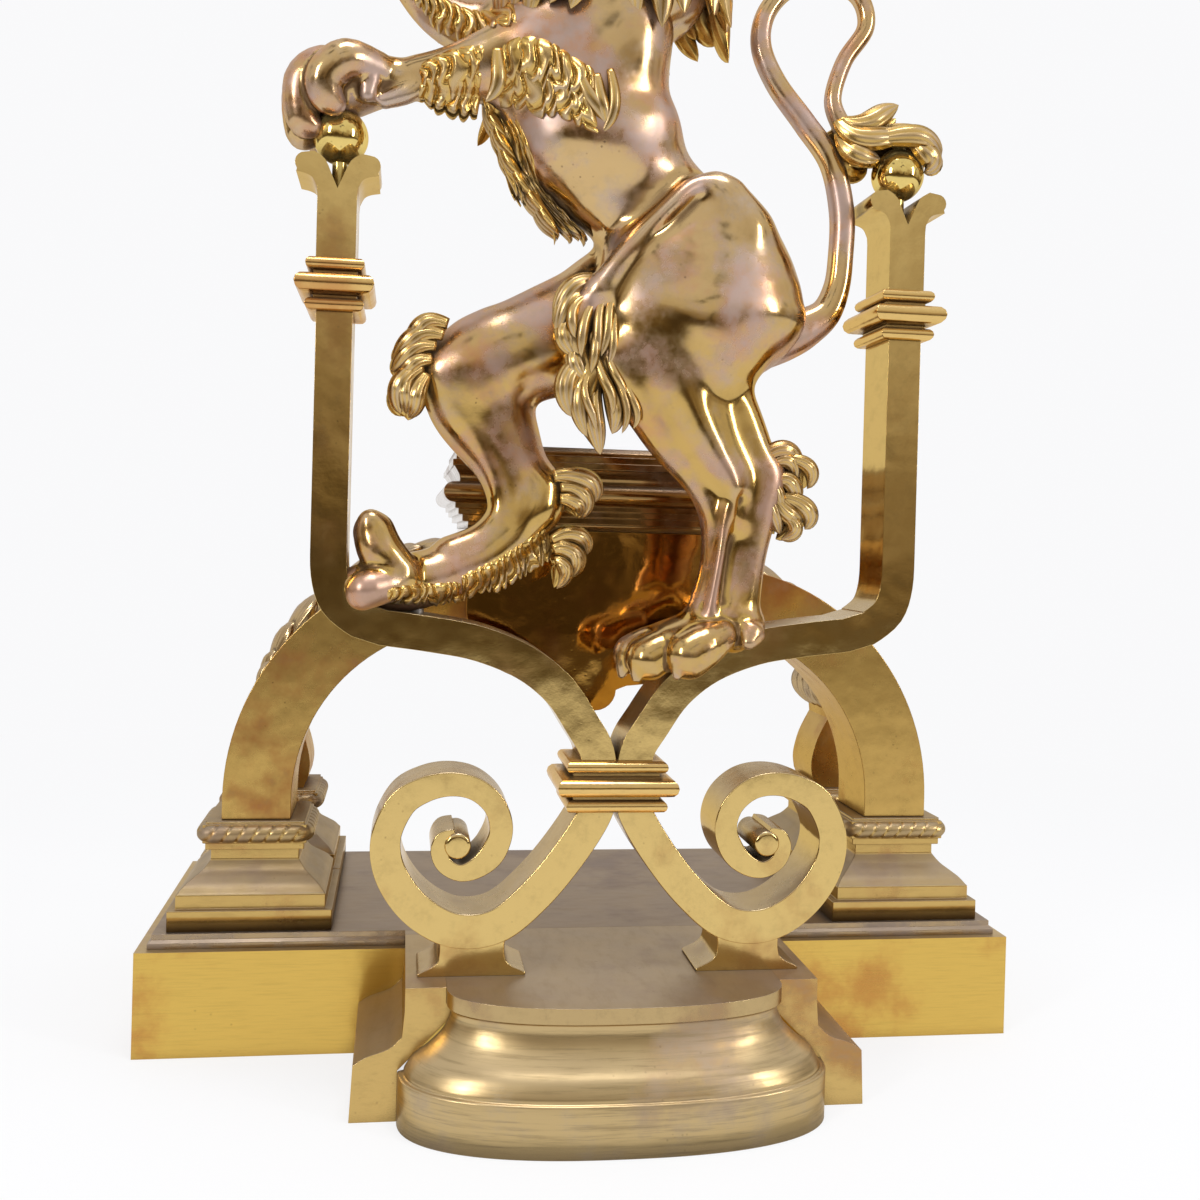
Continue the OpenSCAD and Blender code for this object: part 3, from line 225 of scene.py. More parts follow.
# ---------- Base block ----------
# A hollow brass casting with plain polished sides. Handling has left brown stains and fine scratches on it.
def metal(name, clean, stain, grey, gloss=0.2, stained=0.5, greyed=0.3, tops=0.0, brush=(1, 1, 1), dirt_and_shade=0.5,
          pits=0.25, hollows=None, worn=None, patch=9.0, lines=0.22, higher=None, rim=0.6):
    """Old metal: a clean colour, warm stains in broad clouds, a grey film that is thickest on upward faces, dirt and
    painted shade that darken the corners found by ambient occlusion, small pits, and fine scratches drawn out along
    the brushing. The mesh may carry a hollow, kept clear of stain and film and darkened by dirt and painted shade where
    it is deep, and a worn crest, where the film shows. It may turn to another clean colour higher up."""
    paint = painted(name)
    tree = paint.node_tree
    shade = Shade(tree)
    place = shade.node("TexCoord", out="Object")

    def cloud(scale, detail=4.0, rough=0.55, where=place):
        return shade.node("TexNoise", None, {"Vector": where, "Scale": scale, "Detail": detail, "Roughness": rough},
                          out="Fac")

    drawn = shade.node("Mapping", {"vector_type": "POINT"}, {"Vector": place, "Scale": brush})
    broad = cloud(patch)
    middle = cloud(34.0, 5.0, 0.6)
    fine = cloud(260.0, 3.0)
    scratch = cloud(60.0, 6.0, 0.7, drawn)
    up = shade.node("SeparateXYZ", None, {0: shade.node("NewGeometry", out="Normal")}, out="Z")
    stain_mask = (broad * 0.62 + middle * 0.38).step(0.58 - 0.16 * stained, 0.72 - 0.16 * stained)
    stain_mask = stain_mask * min(1.0, 0.35 + stained)
    film = (middle * 0.5 + broad * 0.3 + scratch * 0.2).step(0.62 - 0.25 * greyed, 0.78 - 0.25 * greyed) * greyed
    film = shade.math("MAXIMUM", film, up.step(0.12, 0.8) * (0.6 + 0.5 * (middle - 0.2)) * tops)
    if worn:
        film = shade.math("MAXIMUM", film, shade.node("Attribute", {"attribute_name": worn}, out="Fac")
                          * (0.3 + 1.1 * (middle - 0.3)))
    # Dirt and painted shade: ambient occlusion finds corners and creases, where shade falls, and the colour is darkened
    # there nearly to black.
    corner = shade.node("AmbientOcclusion", {"samples": 6, "inside": False}, {"Distance": 0.012}, out="AO")
    dirt_and_shade_mask = (1 - corner).step(0.25, 0.85) * dirt_and_shade
    # Deep hollows stay clear of stain and film, and are darkened by dirt and painted shade.
    if hollows:
        deep = shade.node("Attribute", {"attribute_name": hollows}, out="Fac")
        clear = 1 - deep.step(0.0, 0.35)
        stain_mask, film = stain_mask * clear, film * clear
        dirt_and_shade_mask = shade.math("MAXIMUM", dirt_and_shade_mask, deep.step(0.5, 1.0) * dirt_and_shade)
    specks = shade.node("TexVoronoi", None, {"Vector": place, "Scale": 190.0}, out="Distance")
    speck_mask = (1 - specks.step(0.05, 0.16)) * cloud(22.0, 2.0).step(0.52, 0.66) * pits
    plain = clean
    if higher:
        level = (shade.node("SeparateXYZ", None, {0: place}, out="Z") + 0.12 * (broad - 0.5)).step(0.36, 0.46)
        plain, film = level.blend(clean, higher), film * (0.7 + 0.3 * level)
    colour = stain_mask.blend(plain, stain)
    colour = film.blend(colour, grey)
    colour = (scratch.step(0.45, 0.72) * lines).blend(colour, tuple(0.5 * c for c in clean))
    # Painted shade and dirt: corners and deep hollows go nearly black.
    colour = dirt_and_shade_mask.blend(colour, tuple(0.16 * c for c in stain))
    colour = speck_mask.blend(colour, tuple(0.2 * c for c in stain))
    rough = gloss + 0.10 * (scratch - 0.5) + 0.22 * film + 0.10 * stain_mask + 0.25 * dirt_and_shade_mask
    base = tree.nodes["Principled BSDF"]
    base.inputs["Specular Tint"].default_value = (*[1 - rim * (1 - c) for c in clean], 1)
    tree.links.new(colour.socket, base.inputs["Base Color"])
    tree.links.new(shade.math("MAXIMUM", rough, 0.04).socket, base.inputs["Roughness"])
    tree.links.new((1 - 0.35 * film - 0.5 * dirt_and_shade_mask).socket, base.inputs["Metallic"])
    height = 0.5 * scratch + 0.35 * fine + 0.6 * (1 - speck_mask)
    bump = shade.node("Bump", None, {"Strength": 0.12, "Distance": 0.0006, "Height": height})
    wave = shade.node("Bump", None, {"Strength": 0.18, "Distance": 0.004, "Height": cloud(28.0, 2.0), "Normal": bump})
    tree.links.new(wave.socket, base.inputs["Normal"])
    return paint


def fitted(piece, slot, *nodes):
    """The piece belongs to the andiron and stands for these nodes. Its slot is not used."""
    if piece.name not in bpy.context.collection.objects:
        bpy.context.collection.objects.link(piece)
    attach(piece, "root")
    if nodes:
        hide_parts(*nodes)
    return piece


def eased(node, finish, slot, edge=0.0007, cuts=2, angle=32):
    """A CAD node's mesh copied, merged and with its flat faces joined, so that each edge can be eased a little."""
    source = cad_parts[node]
    work = bmesh.new()
    work.from_mesh(source.data)
    bmesh.ops.remove_doubles(work, verts=work.verts, dist=1e-6)
    bmesh.ops.dissolve_limit(work, angle_limit=math.radians(0.5), verts=work.verts, edges=work.edges)
    mesh = bpy.data.meshes.new(node + "_eased")
    work.to_mesh(mesh)
    work.free()
    mesh.materials.clear()
    mesh.materials.append(finish)
    mesh.polygons.foreach_set("use_smooth", np.ones(len(mesh.polygons), bool))
    piece = bpy.data.objects.new(node + "_eased", mesh)
    bevel = piece.modifiers.new("eased_edges", "BEVEL")
    bevel.width, bevel.segments, bevel.limit_method = edge, cuts, "ANGLE"
    bevel.angle_limit = math.radians(angle)
    flat = piece.modifiers.new("even_normals", "WEIGHTED_NORMAL")
    flat.weight = 100
    return fitted(piece, slot, node)


block_finish = metal("block_brass", (0.68, 0.45, 0.105), (0.50, 0.21, 0.055), (0.40, 0.34, 0.28), gloss=0.2,
                     stained=0.36, greyed=0.12, tops=0.9, brush=(0.6, 1, 14), dirt_and_shade=0.6)
eased("base_casting", block_finish, "base_brass", 0.0009)

# The top plate has gone dull and greyish-mauve, because dust and polish lie on it.
plate_finish = metal("dull_plate", (0.42, 0.30, 0.165), (0.30, 0.19, 0.115), (0.265, 0.226, 0.212), gloss=0.2,
                     stained=0.45, greyed=0.7, tops=0.8, brush=(1, 3, 3), dirt_and_shade=0.6)
eased("base_top_plate", plate_finish, "dull_brass", 0.0008)


# ---------- Front platform ----------
# Two ogee brackets carry a plate with a bowed edge, and a bowed moulding closes the front under it.
bracket_finish = metal("bracket_brass", (0.60, 0.41, 0.145), (0.40, 0.20, 0.07), (0.39, 0.33, 0.27), gloss=0.22,
                       stained=0.5, greyed=0.35, tops=0.8, brush=(2, 1, 6), dirt_and_shade=0.6)
eased("bracket_left", bracket_finish, "base_brass")
eased("bracket_right", bracket_finish, "base_brass")
platform_finish = metal("platform_brass", (0.50, 0.36, 0.17), (0.36, 0.22, 0.11), (0.36, 0.30, 0.255), gloss=0.2,
                        stained=0.45, greyed=0.3, tops=0.9, brush=(3, 1, 3), dirt_and_shade=0.6)
eased("platform_plate", platform_finish, "dull_brass", 0.0006)

bow_finish = metal("bow_brass", (0.56, 0.41, 0.20), (0.40, 0.24, 0.11), (0.40, 0.34, 0.27), gloss=0.3,
                   stained=0.5, greyed=0.6, tops=0.4, brush=(0.35, 0.35, 9), dirt_and_shade=0.6, lines=0.7)
bow_half_low, bow_half_high = 0.112, 0.088
bow_reach_low, bow_reach_high = 0.051, 0.036
bow_middle = -0.1235


def unit(vectors):
    """The vectors at a length of one."""
    return vectors / (np.linalg.norm(vectors, axis=-1, keepdims=True) + 1e-9)


def eased_line(corners, ease, steps=4):
    """A line of corners with each inner corner worked round: a quadratic run from ease before it to ease after it."""
    corners = np.asarray(corners, float)
    run = [corners[:1]]
    t = np.linspace(0, 1, steps + 1)[:, None]
    for before, here, after in zip(corners[:-2], corners[1:-1], corners[2:]):
        near = min(ease, 0.45 * np.linalg.norm(before - here), 0.45 * np.linalg.norm(after - here))
        start, stop = here + near * unit(before - here), here + near * unit(after - here)
        run.append((1 - t) ** 2 * start + 2 * t * (1 - t) * here + t ** 2 * stop)
    run.append(corners[-1:])
    return np.concatenate(run)


def flowing(rows, steps):
    """Points on the Catmull-Rom curve through the rows, so many steps between neighbours."""
    rows = np.asarray(rows, float)
    ends = np.concatenate([rows[:1], rows, rows[-1:]])
    t = (np.arange(steps) / steps)[:, None, None]
    a, b, c, d = ends[:-3], ends[1:-2], ends[2:-1], ends[3:]
    curve = 0.5 * (2 * b + (c - a) * t + (2 * a - 5 * b + 4 * c - d) * t ** 2 + (3 * b - a - 3 * c + d) * t ** 3)
    return np.concatenate([curve.transpose(1, 0, 2).reshape(-1, rows.shape[1]), rows[-1:]])


def bow_surface():
    """Rows of draw-in and height, carried round a superellipse whose half width and reach shrink with the draw-in."""
    hollow = flowing([[0.13, 0.0265], [0.16, 0.029], [0.34, 0.035], [0.62, 0.040], [0.92, 0.047], [1.08, 0.054],
                      [1.1, 0.0575]], 6)
    rows = np.concatenate([[[0, 0.0003], [0, 0.0252], [0.012, 0.0259], [0.06, 0.0262]], hollow,
                           [[1.1, 0.0585], [1.07, 0.0595], [1.02, 0.0600]]])
    turn = np.linspace(0, np.pi, 121)
    bend = 2 / 2.4
    out_x = np.sign(np.cos(turn)) * np.abs(np.cos(turn)) ** bend
    out_y = np.maximum(np.sin(turn), 0) ** bend
    draw = rows[:, :1]
    x = (bow_half_low + (bow_half_high - bow_half_low) * draw) * out_x
    y = bow_middle - (bow_reach_low + (bow_reach_high - bow_reach_low) * draw) * out_y
    return np.stack([x, y, np.broadcast_to(rows[:, 1:], x.shape)], axis=-1)


bow_points = bow_surface()
fitted(grid_mesh("bow_moulding", bow_points[:, ::-1], bow_finish, around=True, caps=(0, 1)), "base_brass", "bow_front")


# ---------- Pedestals ----------
# Four cast pedestals: a square plinth, a fillet, an ogee up to the neck, and a roped bead under the top plate.
pedestal_finish = metal("pedestal_brass", (0.58, 0.39, 0.13), (0.44, 0.22, 0.08), (0.235, 0.2, 0.172), gloss=0.24,
                        stained=0.5, greyed=0.25, tops=0.95, brush=(1, 1, 5), dirt_and_shade=0.8, worn="crest")


def moulded(name, centre, half, rows, finish, ease=0.0005):
    """A moulding: a profile of outset and height, its corners eased, carried round a rectangle of these half sizes.
    Each ring has four corners worked round to half a millimetre."""
    rows = eased_line(rows, ease)
    turn = np.radians(np.array([0, 30, 60, 90])[None] + np.array([0, 90, 180, 270])[:, None]).ravel()
    sign_x, sign_y = np.repeat([1, -1, -1, 1], 4), np.repeat([1, 1, -1, -1], 4)
    worn = 0.0006
    x = centre[0] + sign_x * (half[0] + rows[:, :1] - worn) + worn * np.cos(turn)
    y = centre[1] + sign_y * (half[1] + rows[:, :1] - worn) + worn * np.sin(turn)
    z = centre[2] + rows[:, 1:] + np.zeros_like(x)
    piece = grid_mesh(name, np.stack([x, y, z], axis=-1), finish, around=True, caps=(0, 1))
    piece.modifiers.new("even_normals", "WEIGHTED_NORMAL").weight = 100
    return piece


pedestal_x, pedestal_low, neck_half = 0.198, 0.068, 0.0255
bead_middle, bead_out, bead_radius, groove_depth = 0.1205, 0.0285, 0.0058, 0.0011
# Outset from the neck, and height, up a pedestal. The bead under its top plate is a rope, and is made by itself.
pedestal_rows = np.concatenate([
    [[0.021, 0.0002], [0.021, 0.012], [0.017, 0.0122], [0.017, 0.020]],
    flowing([[0.016, 0.021], [0.013, 0.0245], [0.0085, 0.028], [0.004, 0.0315], [0.0003, 0.0362]], 4),
    [[0, 0.037], [0, 0.0428], [0.003, 0.043], [0.003, 0.0468], [0.0045, 0.047], [0.0045, 0.058], [0.003, 0.0582],
     [0.003, 0.0598]]])


def rope_bead(name, centre):
    """The roped bead round a square neck. A circle runs round a square with small round corners, and its radius
    drops in narrow slanting grooves: radius = r - depth (1 - |sin(grooves way + slant height)|) to a high power."""
    way, height = np.meshgrid(np.linspace(0, 1, 505)[:-1], np.linspace(0, 2 * np.pi, 25)[:-1], indexing="ij")
    turn = 2 * np.pi * way + np.pi / 4
    reach = bead_out * (np.abs(np.cos(turn)) ** 14 + np.abs(np.sin(turn)) ** 14) ** (-1 / 14)
    x, y = reach * np.cos(turn), reach * np.sin(turn)
    size = np.maximum(np.abs(x), np.abs(y))
    out_x, out_y = np.sign(x) * (np.abs(x) / size) ** 20, np.sign(y) * (np.abs(y) / size) ** 20
    span = np.where(np.abs(x) > np.abs(y), y * np.sign(x), -x * np.sign(y)) / bead_out
    groove = (1 - np.abs(np.sin(np.pi * 3.5 * span - 1.2 * np.sin(height)))) ** 6
    radius = bead_radius - groove_depth * groove
    ring = radius * np.cos(height) / np.sqrt(out_x ** 2 + out_y ** 2)
    points = np.stack([centre[0] + x + ring * out_x, centre[1] + y + ring * out_y,
                       centre[2] + 0.92 * radius * np.sin(height)], axis=-1)
    return grid_mesh(name, points[:, ::-1], pedestal_finish, around=True, ring=True,
                     crest=np.clip(1 - 2.5 * groove, 0, 1)[:, ::-1])


for side, word in ((-1, "left"), (1, "right")):
    for end, depth in (("front", 0.024), ("rear", 0.118)):
        fitted(moulded("pedestal_cast_%s_%s" % (end, word), (pedestal_x * side, depth, pedestal_low),
                       (neck_half, neck_half), pedestal_rows, pedestal_finish), "base_brass",
               "pedestal_%s_%s" % (end, word))
        fitted(rope_bead("rope_%s_%s" % (end, word), (pedestal_x * side, depth, bead_middle)), "base_brass")


# ---------- Arch and rear scrolls ----------
# A flat arch bar on the front pedestals. Behind it, bulbs and curled arms with leaf sheaths meet the crown block.
arch_finish = metal("arch_brass", (0.60, 0.39, 0.115), (0.42, 0.185, 0.055), (0.36, 0.29, 0.235), gloss=0.26,
                    stained=0.75, greyed=0.35, tops=0.6, brush=(2, 1, 2), dirt_and_shade=0.5, pits=0.5)
eased("front_arch", arch_finish, "base_brass", 0.0009)
for side in ("left", "right"):
    eased("rear_scroll_" + side, arch_finish, "base_brass", 0.001)


# ---------- Keystone, crown block and cornice ----------
# Dark mirror-polished castings: a shield-shaped plaque, and a moulded cornice over it.
dark_finish = metal("dark_brass", (0.57, 0.32, 0.078), (0.30, 0.105, 0.03), (0.24, 0.17, 0.11), gloss=0.06,
                    stained=0.5, greyed=0.2, tops=0.4, brush=(1, 1, 1), dirt_and_shade=0.6, pits=0.5, rim=0)
eased("keystone_plaque", dark_finish, "dark_brass", 0.0009)
eased("crown_block", dark_finish, "dark_brass", 0.0009)
turn = np.radians(np.linspace(-90, 90, 13))
bead_size = 0.006
cornice_bead = np.stack([0.0095 + bead_size * np.cos(turn), 0.02107 + bead_size * np.sin(turn)], axis=-1)
cornice_rows = np.concatenate([
    [[0.0005, 0.0002], [0.0005, 0.004], [0.004, 0.0042], [0.004, 0.008], [0.0065, 0.0082], [0.0065, 0.0115],
     [0.0085, 0.0117], [0.0085, 0.0148]], cornice_bead,
    flowing([[0.006, 0.0275], [0.0065, 0.0311], [0.0095, 0.0361]], 5),
    [[0.0105, 0.0363], [0.0105, 0.040], [0.0085, 0.0402], [0.0085, 0.044], [0.007, 0.0442], [0.007, 0.049]]])
cornice_finish = metal("cornice_brass", (0.34, 0.205, 0.075), (0.24, 0.11, 0.045), (0.27, 0.215, 0.185), gloss=0.11,
                       stained=0.5, greyed=0.45, tops=0.8, dirt_and_shade=0.8, pits=0.5, rim=0)
cornice_low_middle, cornice_half = (0, 0.0575, 0.304), (0.078, 0.0805)
fitted(moulded("cornice_cast", cornice_low_middle, cornice_half, cornice_rows, cornice_finish, 0.0003),
       "dark_brass", "cornice")


# ---------- Scroll frame ----------
# Flat brass bar bent into two C-scrolls and two arms, joined by a collar, with split heads on the uprights.
frame_finish = metal("frame_brass", (0.68, 0.485, 0.18), (0.44, 0.24, 0.08), (0.36, 0.31, 0.265), gloss=0.13,
                     stained=0.4, greyed=0.2, tops=0.85, brush=(2, 1, 2), dirt_and_shade=0.8)
collar_finish = metal("collar_brass", (0.74, 0.50, 0.18), (0.54, 0.25, 0.08), (0.46, 0.38, 0.30), gloss=0.15,
                      stained=0.4, greyed=0.2, tops=0.3, brush=(1, 1, 4), dirt_and_shade=0.9)


def bar(name, rows, side, finish, half_deep=18.0, ease=0.7):
    """A bent bar: an oblong section with rounded corners, run along rows of x, z and half width, from the front of
    the frame to its back."""
    run = flowing(rows, 10)
    way = unit(np.gradient(run[:, :2], axis=0))
    quarter = np.radians([0, 30, 60, 90])
    turn = np.concatenate([quarter, quarter[::-1], quarter, quarter[::-1]])
    sign_over, sign_out = np.repeat([1, -1, -1, 1], 4), np.repeat([1, 1, -1, -1], 4)
    wide = sign_over * (run[:, 2:3] + ease * (np.cos(turn) - 1))
    out = mid + sign_out * (half_deep - ease + ease * np.sin(turn))
    x = side * (run[:, :1] + way[:, 1:] * wide)
    z = run[:, 1:2] - way[:, :1] * wide
    points = np.stack([x, out + 0 * wide, z], axis=-1) * 0.001
    piece = grid_mesh(name, points if side < 0 else points[:, ::-1], finish, around=True, caps=(0, 1))
    piece.modifiers.new("even_normals", "WEIGHTED_NORMAL").weight = 100
    return piece


mid = -89.5
eye_x, eye_z = 83.5, 136.8
scroll_rows = [
    [9.25, 168, 9.25], [10.75, 154, 9.25], [24, 132, 9.25], [42, 110, 9.25], [62, 94, 9.25], [84, 92, 9.25],
    [104, 103, 9.0], [117.5, 121, 8.5], [121, 140, 7.8], [113.6, 158, 7.5], [102, 166, 6.9], [88.5, 169, 6.4],
    [75, 166.5, 6.1], [64.5, 157.5, 6.0], [60.8, 145, 6.2], [65, 132.5, 6.6], [73, 125, 5.6], [82, 122.4, 4.5],
    [90, 126.5, 4.4], [93, 134, 4.6], [91, 140.5, 4.0], [85, 143.5, 2.2]]
eye_rows = np.array([[4.6, -109.3], [5.9, -109.1], [6.6, -108.6], [6.9, -107.9], [6.9, -71.1], [6.6, -70.4],
                     [5.9, -69.9], [4.6, -69.7]])
turn = 2 * np.pi * np.arange(48) / 48
for side, word in ((-1, "left"), (1, "right")):
    fitted(bar("scroll_bar_" + word, scroll_rows, side, frame_finish), "frame_brass", "foot_scroll_" + word)
    fitted(bar("scroll_foot_" + word, [[74.5, 68.1, 28], [74.5, 69.6, 28], [74.5, 73, 21], [74.5, 77, 17.5],
                                       [74.5, 85, 17], [74.5, 92, 19]], side, frame_finish, 17.9), "frame_brass")
    eye = np.stack([eye_x * side + eye_rows[:, :1] * np.cos(turn), eye_rows[:, 1:] + 0 * turn,
                    eye_z + eye_rows[:, :1] * np.sin(turn)], axis=-1) * 0.001
    fitted(grid_mesh("scroll_eye_" + word, eye, frame_finish, around=True, caps=(0, 1)), "frame_brass")
for side in ("left", "right"):
    eased("frame_arm_" + side, frame_finish, "frame_brass", 0.0008)
    eased("split_head_" + side, frame_finish, "frame_brass", 0.0007)
    eased("upright_collar_" + side, collar_finish, "frame_brass", 0.0004)
eased("middle_collar", collar_finish, "frame_brass", 0.0004)

ball_finish = metal("ball_brass", (0.80, 0.60, 0.20), (0.50, 0.26, 0.08), (0.46, 0.40, 0.28), gloss=0.08,
                    stained=0.3, greyed=0.2, tops=0.2, dirt_and_shade=0.7)
ball_x, ball_z, ball_radius = 0.154, 0.50825, 0.0146
for side, word in ((-1, "left"), (1, "right")):
    work = bmesh.new()
    bmesh.ops.create_uvsphere(work, u_segments=64, v_segments=40, radius=ball_radius,
                              matrix=Matrix.Translation((ball_x * side, mid * 0.001, ball_z)))
    ball = meshed("upright_ball_" + word, [v.co for v in work.verts],
                  [[v.index for v in face.verts] for face in work.faces], ball_finish)
    work.free()
    fitted(ball, "frame_brass", "ball_" + word)


# ---------- Lion ----------
# A hollow casting, worn silvery on its smooth limbs with copper-pink patches, and bright gold down in its fur.
# It is modelled here as clay: limbs are pressed together with soft joins on a grid, and a skin is drawn over them.
near, far = -105.5, -73.5
clay_step = 1.5
clay_low = np.array([-204.0, -139.5, 225.0])
clay_size = (213, 68, 293)


def clay_block(low, size):
    """An empty block of clay: a far distance at every grid point, and its lowest corner."""
    return {"low": np.asarray(low, float), "far": np.full(size, 60.0, np.float32)}


def joined(first, second, soft):
    """The smaller of two distances, with a soft fillet where they are within soft of each other."""
    if soft <= 0:
        return np.minimum(first, second)
    fillet = np.maximum(soft - np.abs(first - second), 0) / soft
    return np.minimum(first, second) - fillet * fillet * soft * 0.25


def press(clay, plane, rows, soft, cut=False):
    """Adds a limb, or cuts one away. Rows are x, y from a plane, z, half width, half depth, run as a smooth curve.
    Between two of its points the distance is the length of the offset from the axis, less its length to the ellipse
    there."""
    path = flowing(rows, 4) if len(rows) > 1 else np.array([rows[0], rows[0]], float)
    path[:, 1] += plane
    low, step = clay["low"], clay_step
    limb_low = path[:, :3].min(0) - path[:, 3:].max() - soft - 4
    limb_high = path[:, :3].max(0) + path[:, 3:].max() + soft + 4
    size = clay["far"].shape
    first = np.clip(np.floor((limb_low - low) / step).astype(int), 0, size)
    last = np.clip(np.ceil((limb_high - low) / step).astype(int) + 1, 0, size)
    if (last <= first).any():
        return
    limb = np.full(last - first, 60.0, np.float32)
    for start, stop in zip(path[:-1], path[1:]):
        run = stop[:3] - start[:3]
        length = max(np.linalg.norm(run), 1e-6)
        along = run / length if length > 1e-5 else np.array([0, 0, 1.0])
        flat = np.array([along[2], 0, -along[0]])
        flat = flat / np.linalg.norm(flat) if np.linalg.norm(flat) > 1e-3 else np.array([1.0, 0, 0])
        side = np.cross(along, flat)
        reach = max(start[3:].max(), stop[3:].max()) + soft + 4
        i0 = np.clip(np.floor((np.minimum(start[:3], stop[:3]) - reach - low) / step).astype(int), first, last)
        i1 = np.clip(np.ceil((np.maximum(start[:3], stop[:3]) + reach - low) / step).astype(int) + 1, first, last)
        if (i1 <= i0).any():
            continue
        x = (low[0] + step * np.arange(i0[0], i1[0]) - start[0])[:, None, None]
        y = (low[1] + step * np.arange(i0[1], i1[1]) - start[1])[None, :, None]
        z = (low[2] + step * np.arange(i0[2], i1[2]) - start[2])[None, None, :]
        share = np.clip((x * run[0] + y * run[1] + z * run[2]) / length ** 2, 0, 1)
        qx, qy, qz = x - share * run[0], y - share * run[1], z - share * run[2]
        wide = start[3] + share * (stop[3] - start[3])
        deep = start[4] + share * (stop[4] - start[4])
        over = qx * flat[0] + qy * flat[1] + qz * flat[2]
        out = qx * side[0] + qy * side[1] + qz * side[2]
        past = qx * along[0] + qy * along[1] + qz * along[2]
        ratio = np.sqrt((over / wide) ** 2 + (out / deep) ** 2 + (past / np.minimum(wide, deep)) ** 2) + 1e-6
        offset = np.sqrt(over ** 2 + out ** 2 + past ** 2)
        spot = tuple(slice(a, b) for a, b in zip(i0 - first, i1 - first))
        limb[spot] = np.minimum(limb[spot], offset - offset / ratio)
    spot = tuple(slice(a, b) for a, b in zip(first, last))
    if cut:
        clay["far"][spot] = -joined(-clay["far"][spot], limb, soft)
    else:
        clay["far"][spot] = joined(clay["far"][spot], limb, soft)


def rubbed(clay, times):
    """Rubs the clay smooth: each distance becomes the mean of itself and its neighbours, along each axis in turn."""
    for _ in range(times):
        for axis in range(3):
            side = np.moveaxis(clay["far"], axis, 0)
            side[1:-1] = 0.25 * side[:-2] + 0.5 * side[1:-1] + 0.25 * side[2:]


def sampled(field, low, points):
    """The field's value at each point, mixed from the grid points about it."""
    at = (points - low) / clay_step
    cell = np.clip(np.floor(at).astype(int), 0, np.array(field.shape) - 2)
    part = at - cell
    return sum(np.prod(np.where(corner, part, 1 - part), axis=-1) * field[tuple(np.moveaxis(cell + corner, -1, 0))]
               for corner in np.ndindex(*[2] * field.ndim))


def skin(clay, name, finish):
    """A mesh where the clay's distance is nought. Each grid cell that it crosses gets the mean of its edge crossings,
    drawn onto the surface, and each grid edge that it crosses joins the four cells about it."""
    field = clay["far"]
    inside = field < 0
    corners = list(np.ndindex(2, 2, 2))
    count = sum(inside[a:a - 1 or None, b:b - 1 or None, c:c - 1 or None].astype(int) for a, b, c in corners)
    cells = np.argwhere((count > 0) & (count < 8))
    index = np.full(count.shape, -1)
    index[tuple(cells.T)] = np.arange(len(cells))
    mean, hits = np.zeros((len(cells), 3)), np.zeros((len(cells), 1))
    for a in corners:
        for b in corners:
            if sum(b) - sum(a) != 1 or any(q < p for p, q in zip(a, b)):
                continue
            fa, fb = field[tuple((cells + a).T)], field[tuple((cells + b).T)]
            crossed = ((fa < 0) != (fb < 0))[:, None]
            share = (fa / np.where(fa == fb, 1, fa - fb))[:, None]
            mean += np.where(crossed, np.array(a) + share * (np.array(b) - np.array(a)), 0)
            hits += crossed
    points = clay["low"] + clay_step * (cells + mean / hits)
    faces = []
    for axis in range(3):
        u, v = (axis + 1) % 3, (axis + 2) % 3
        here = [slice(1, -1)] * 3
        here[axis] = slice(0, -1)
        after = list(here)
        after[axis] = slice(1, None)
        change = inside[tuple(here)] != inside[tuple(after)]
        spots = np.argwhere(change) + [0 if k == axis else 1 for k in range(3)]
        leaving = inside[tuple(spots.T)]
        back_u, back_v = np.eye(3, dtype=int)[u], np.eye(3, dtype=int)[v]
        ring = [index[tuple((spots - s).T)] for s in (back_u + back_v, back_v, 0 * back_u, back_u)]
        quad = np.stack(ring, axis=1)
        faces.append(np.where(leaving[:, None], quad, quad[:, ::-1]))
    slope = np.gradient(field, clay_step)
    for _ in range(2):
        lean = np.stack([sampled(part, clay["low"], points) for part in slope], axis=1)
        height = sampled(field, clay["low"], points)[:, None]
        points = points - np.clip(height, -1, 1) * lean / np.maximum((lean ** 2).sum(1, keepdims=True), 0.2)
    normals = unit(np.stack([sampled(part, clay["low"], points) for part in slope], axis=1))
    bend = sum(np.gradient(part, clay_step, axis=axis) for axis, part in enumerate(slope))
    bend = sampled(bend, clay["low"], points)
    # Concave places get a hollow value, which the finish darkens with dirt and painted shade and keeps clear of stain
    # and film. Convex places get a worn crest.
    hollow, crest = np.clip(-bend * 6.0, 0, 1), np.clip((bend - 0.1) * 5.0, 0, 1)
    piece = meshed(name, points * 0.001, np.concatenate(faces).tolist(), finish, hollow=hollow, crest=crest)
    piece.data.normals_split_custom_set_from_vertices(normals.tolist())
    return piece


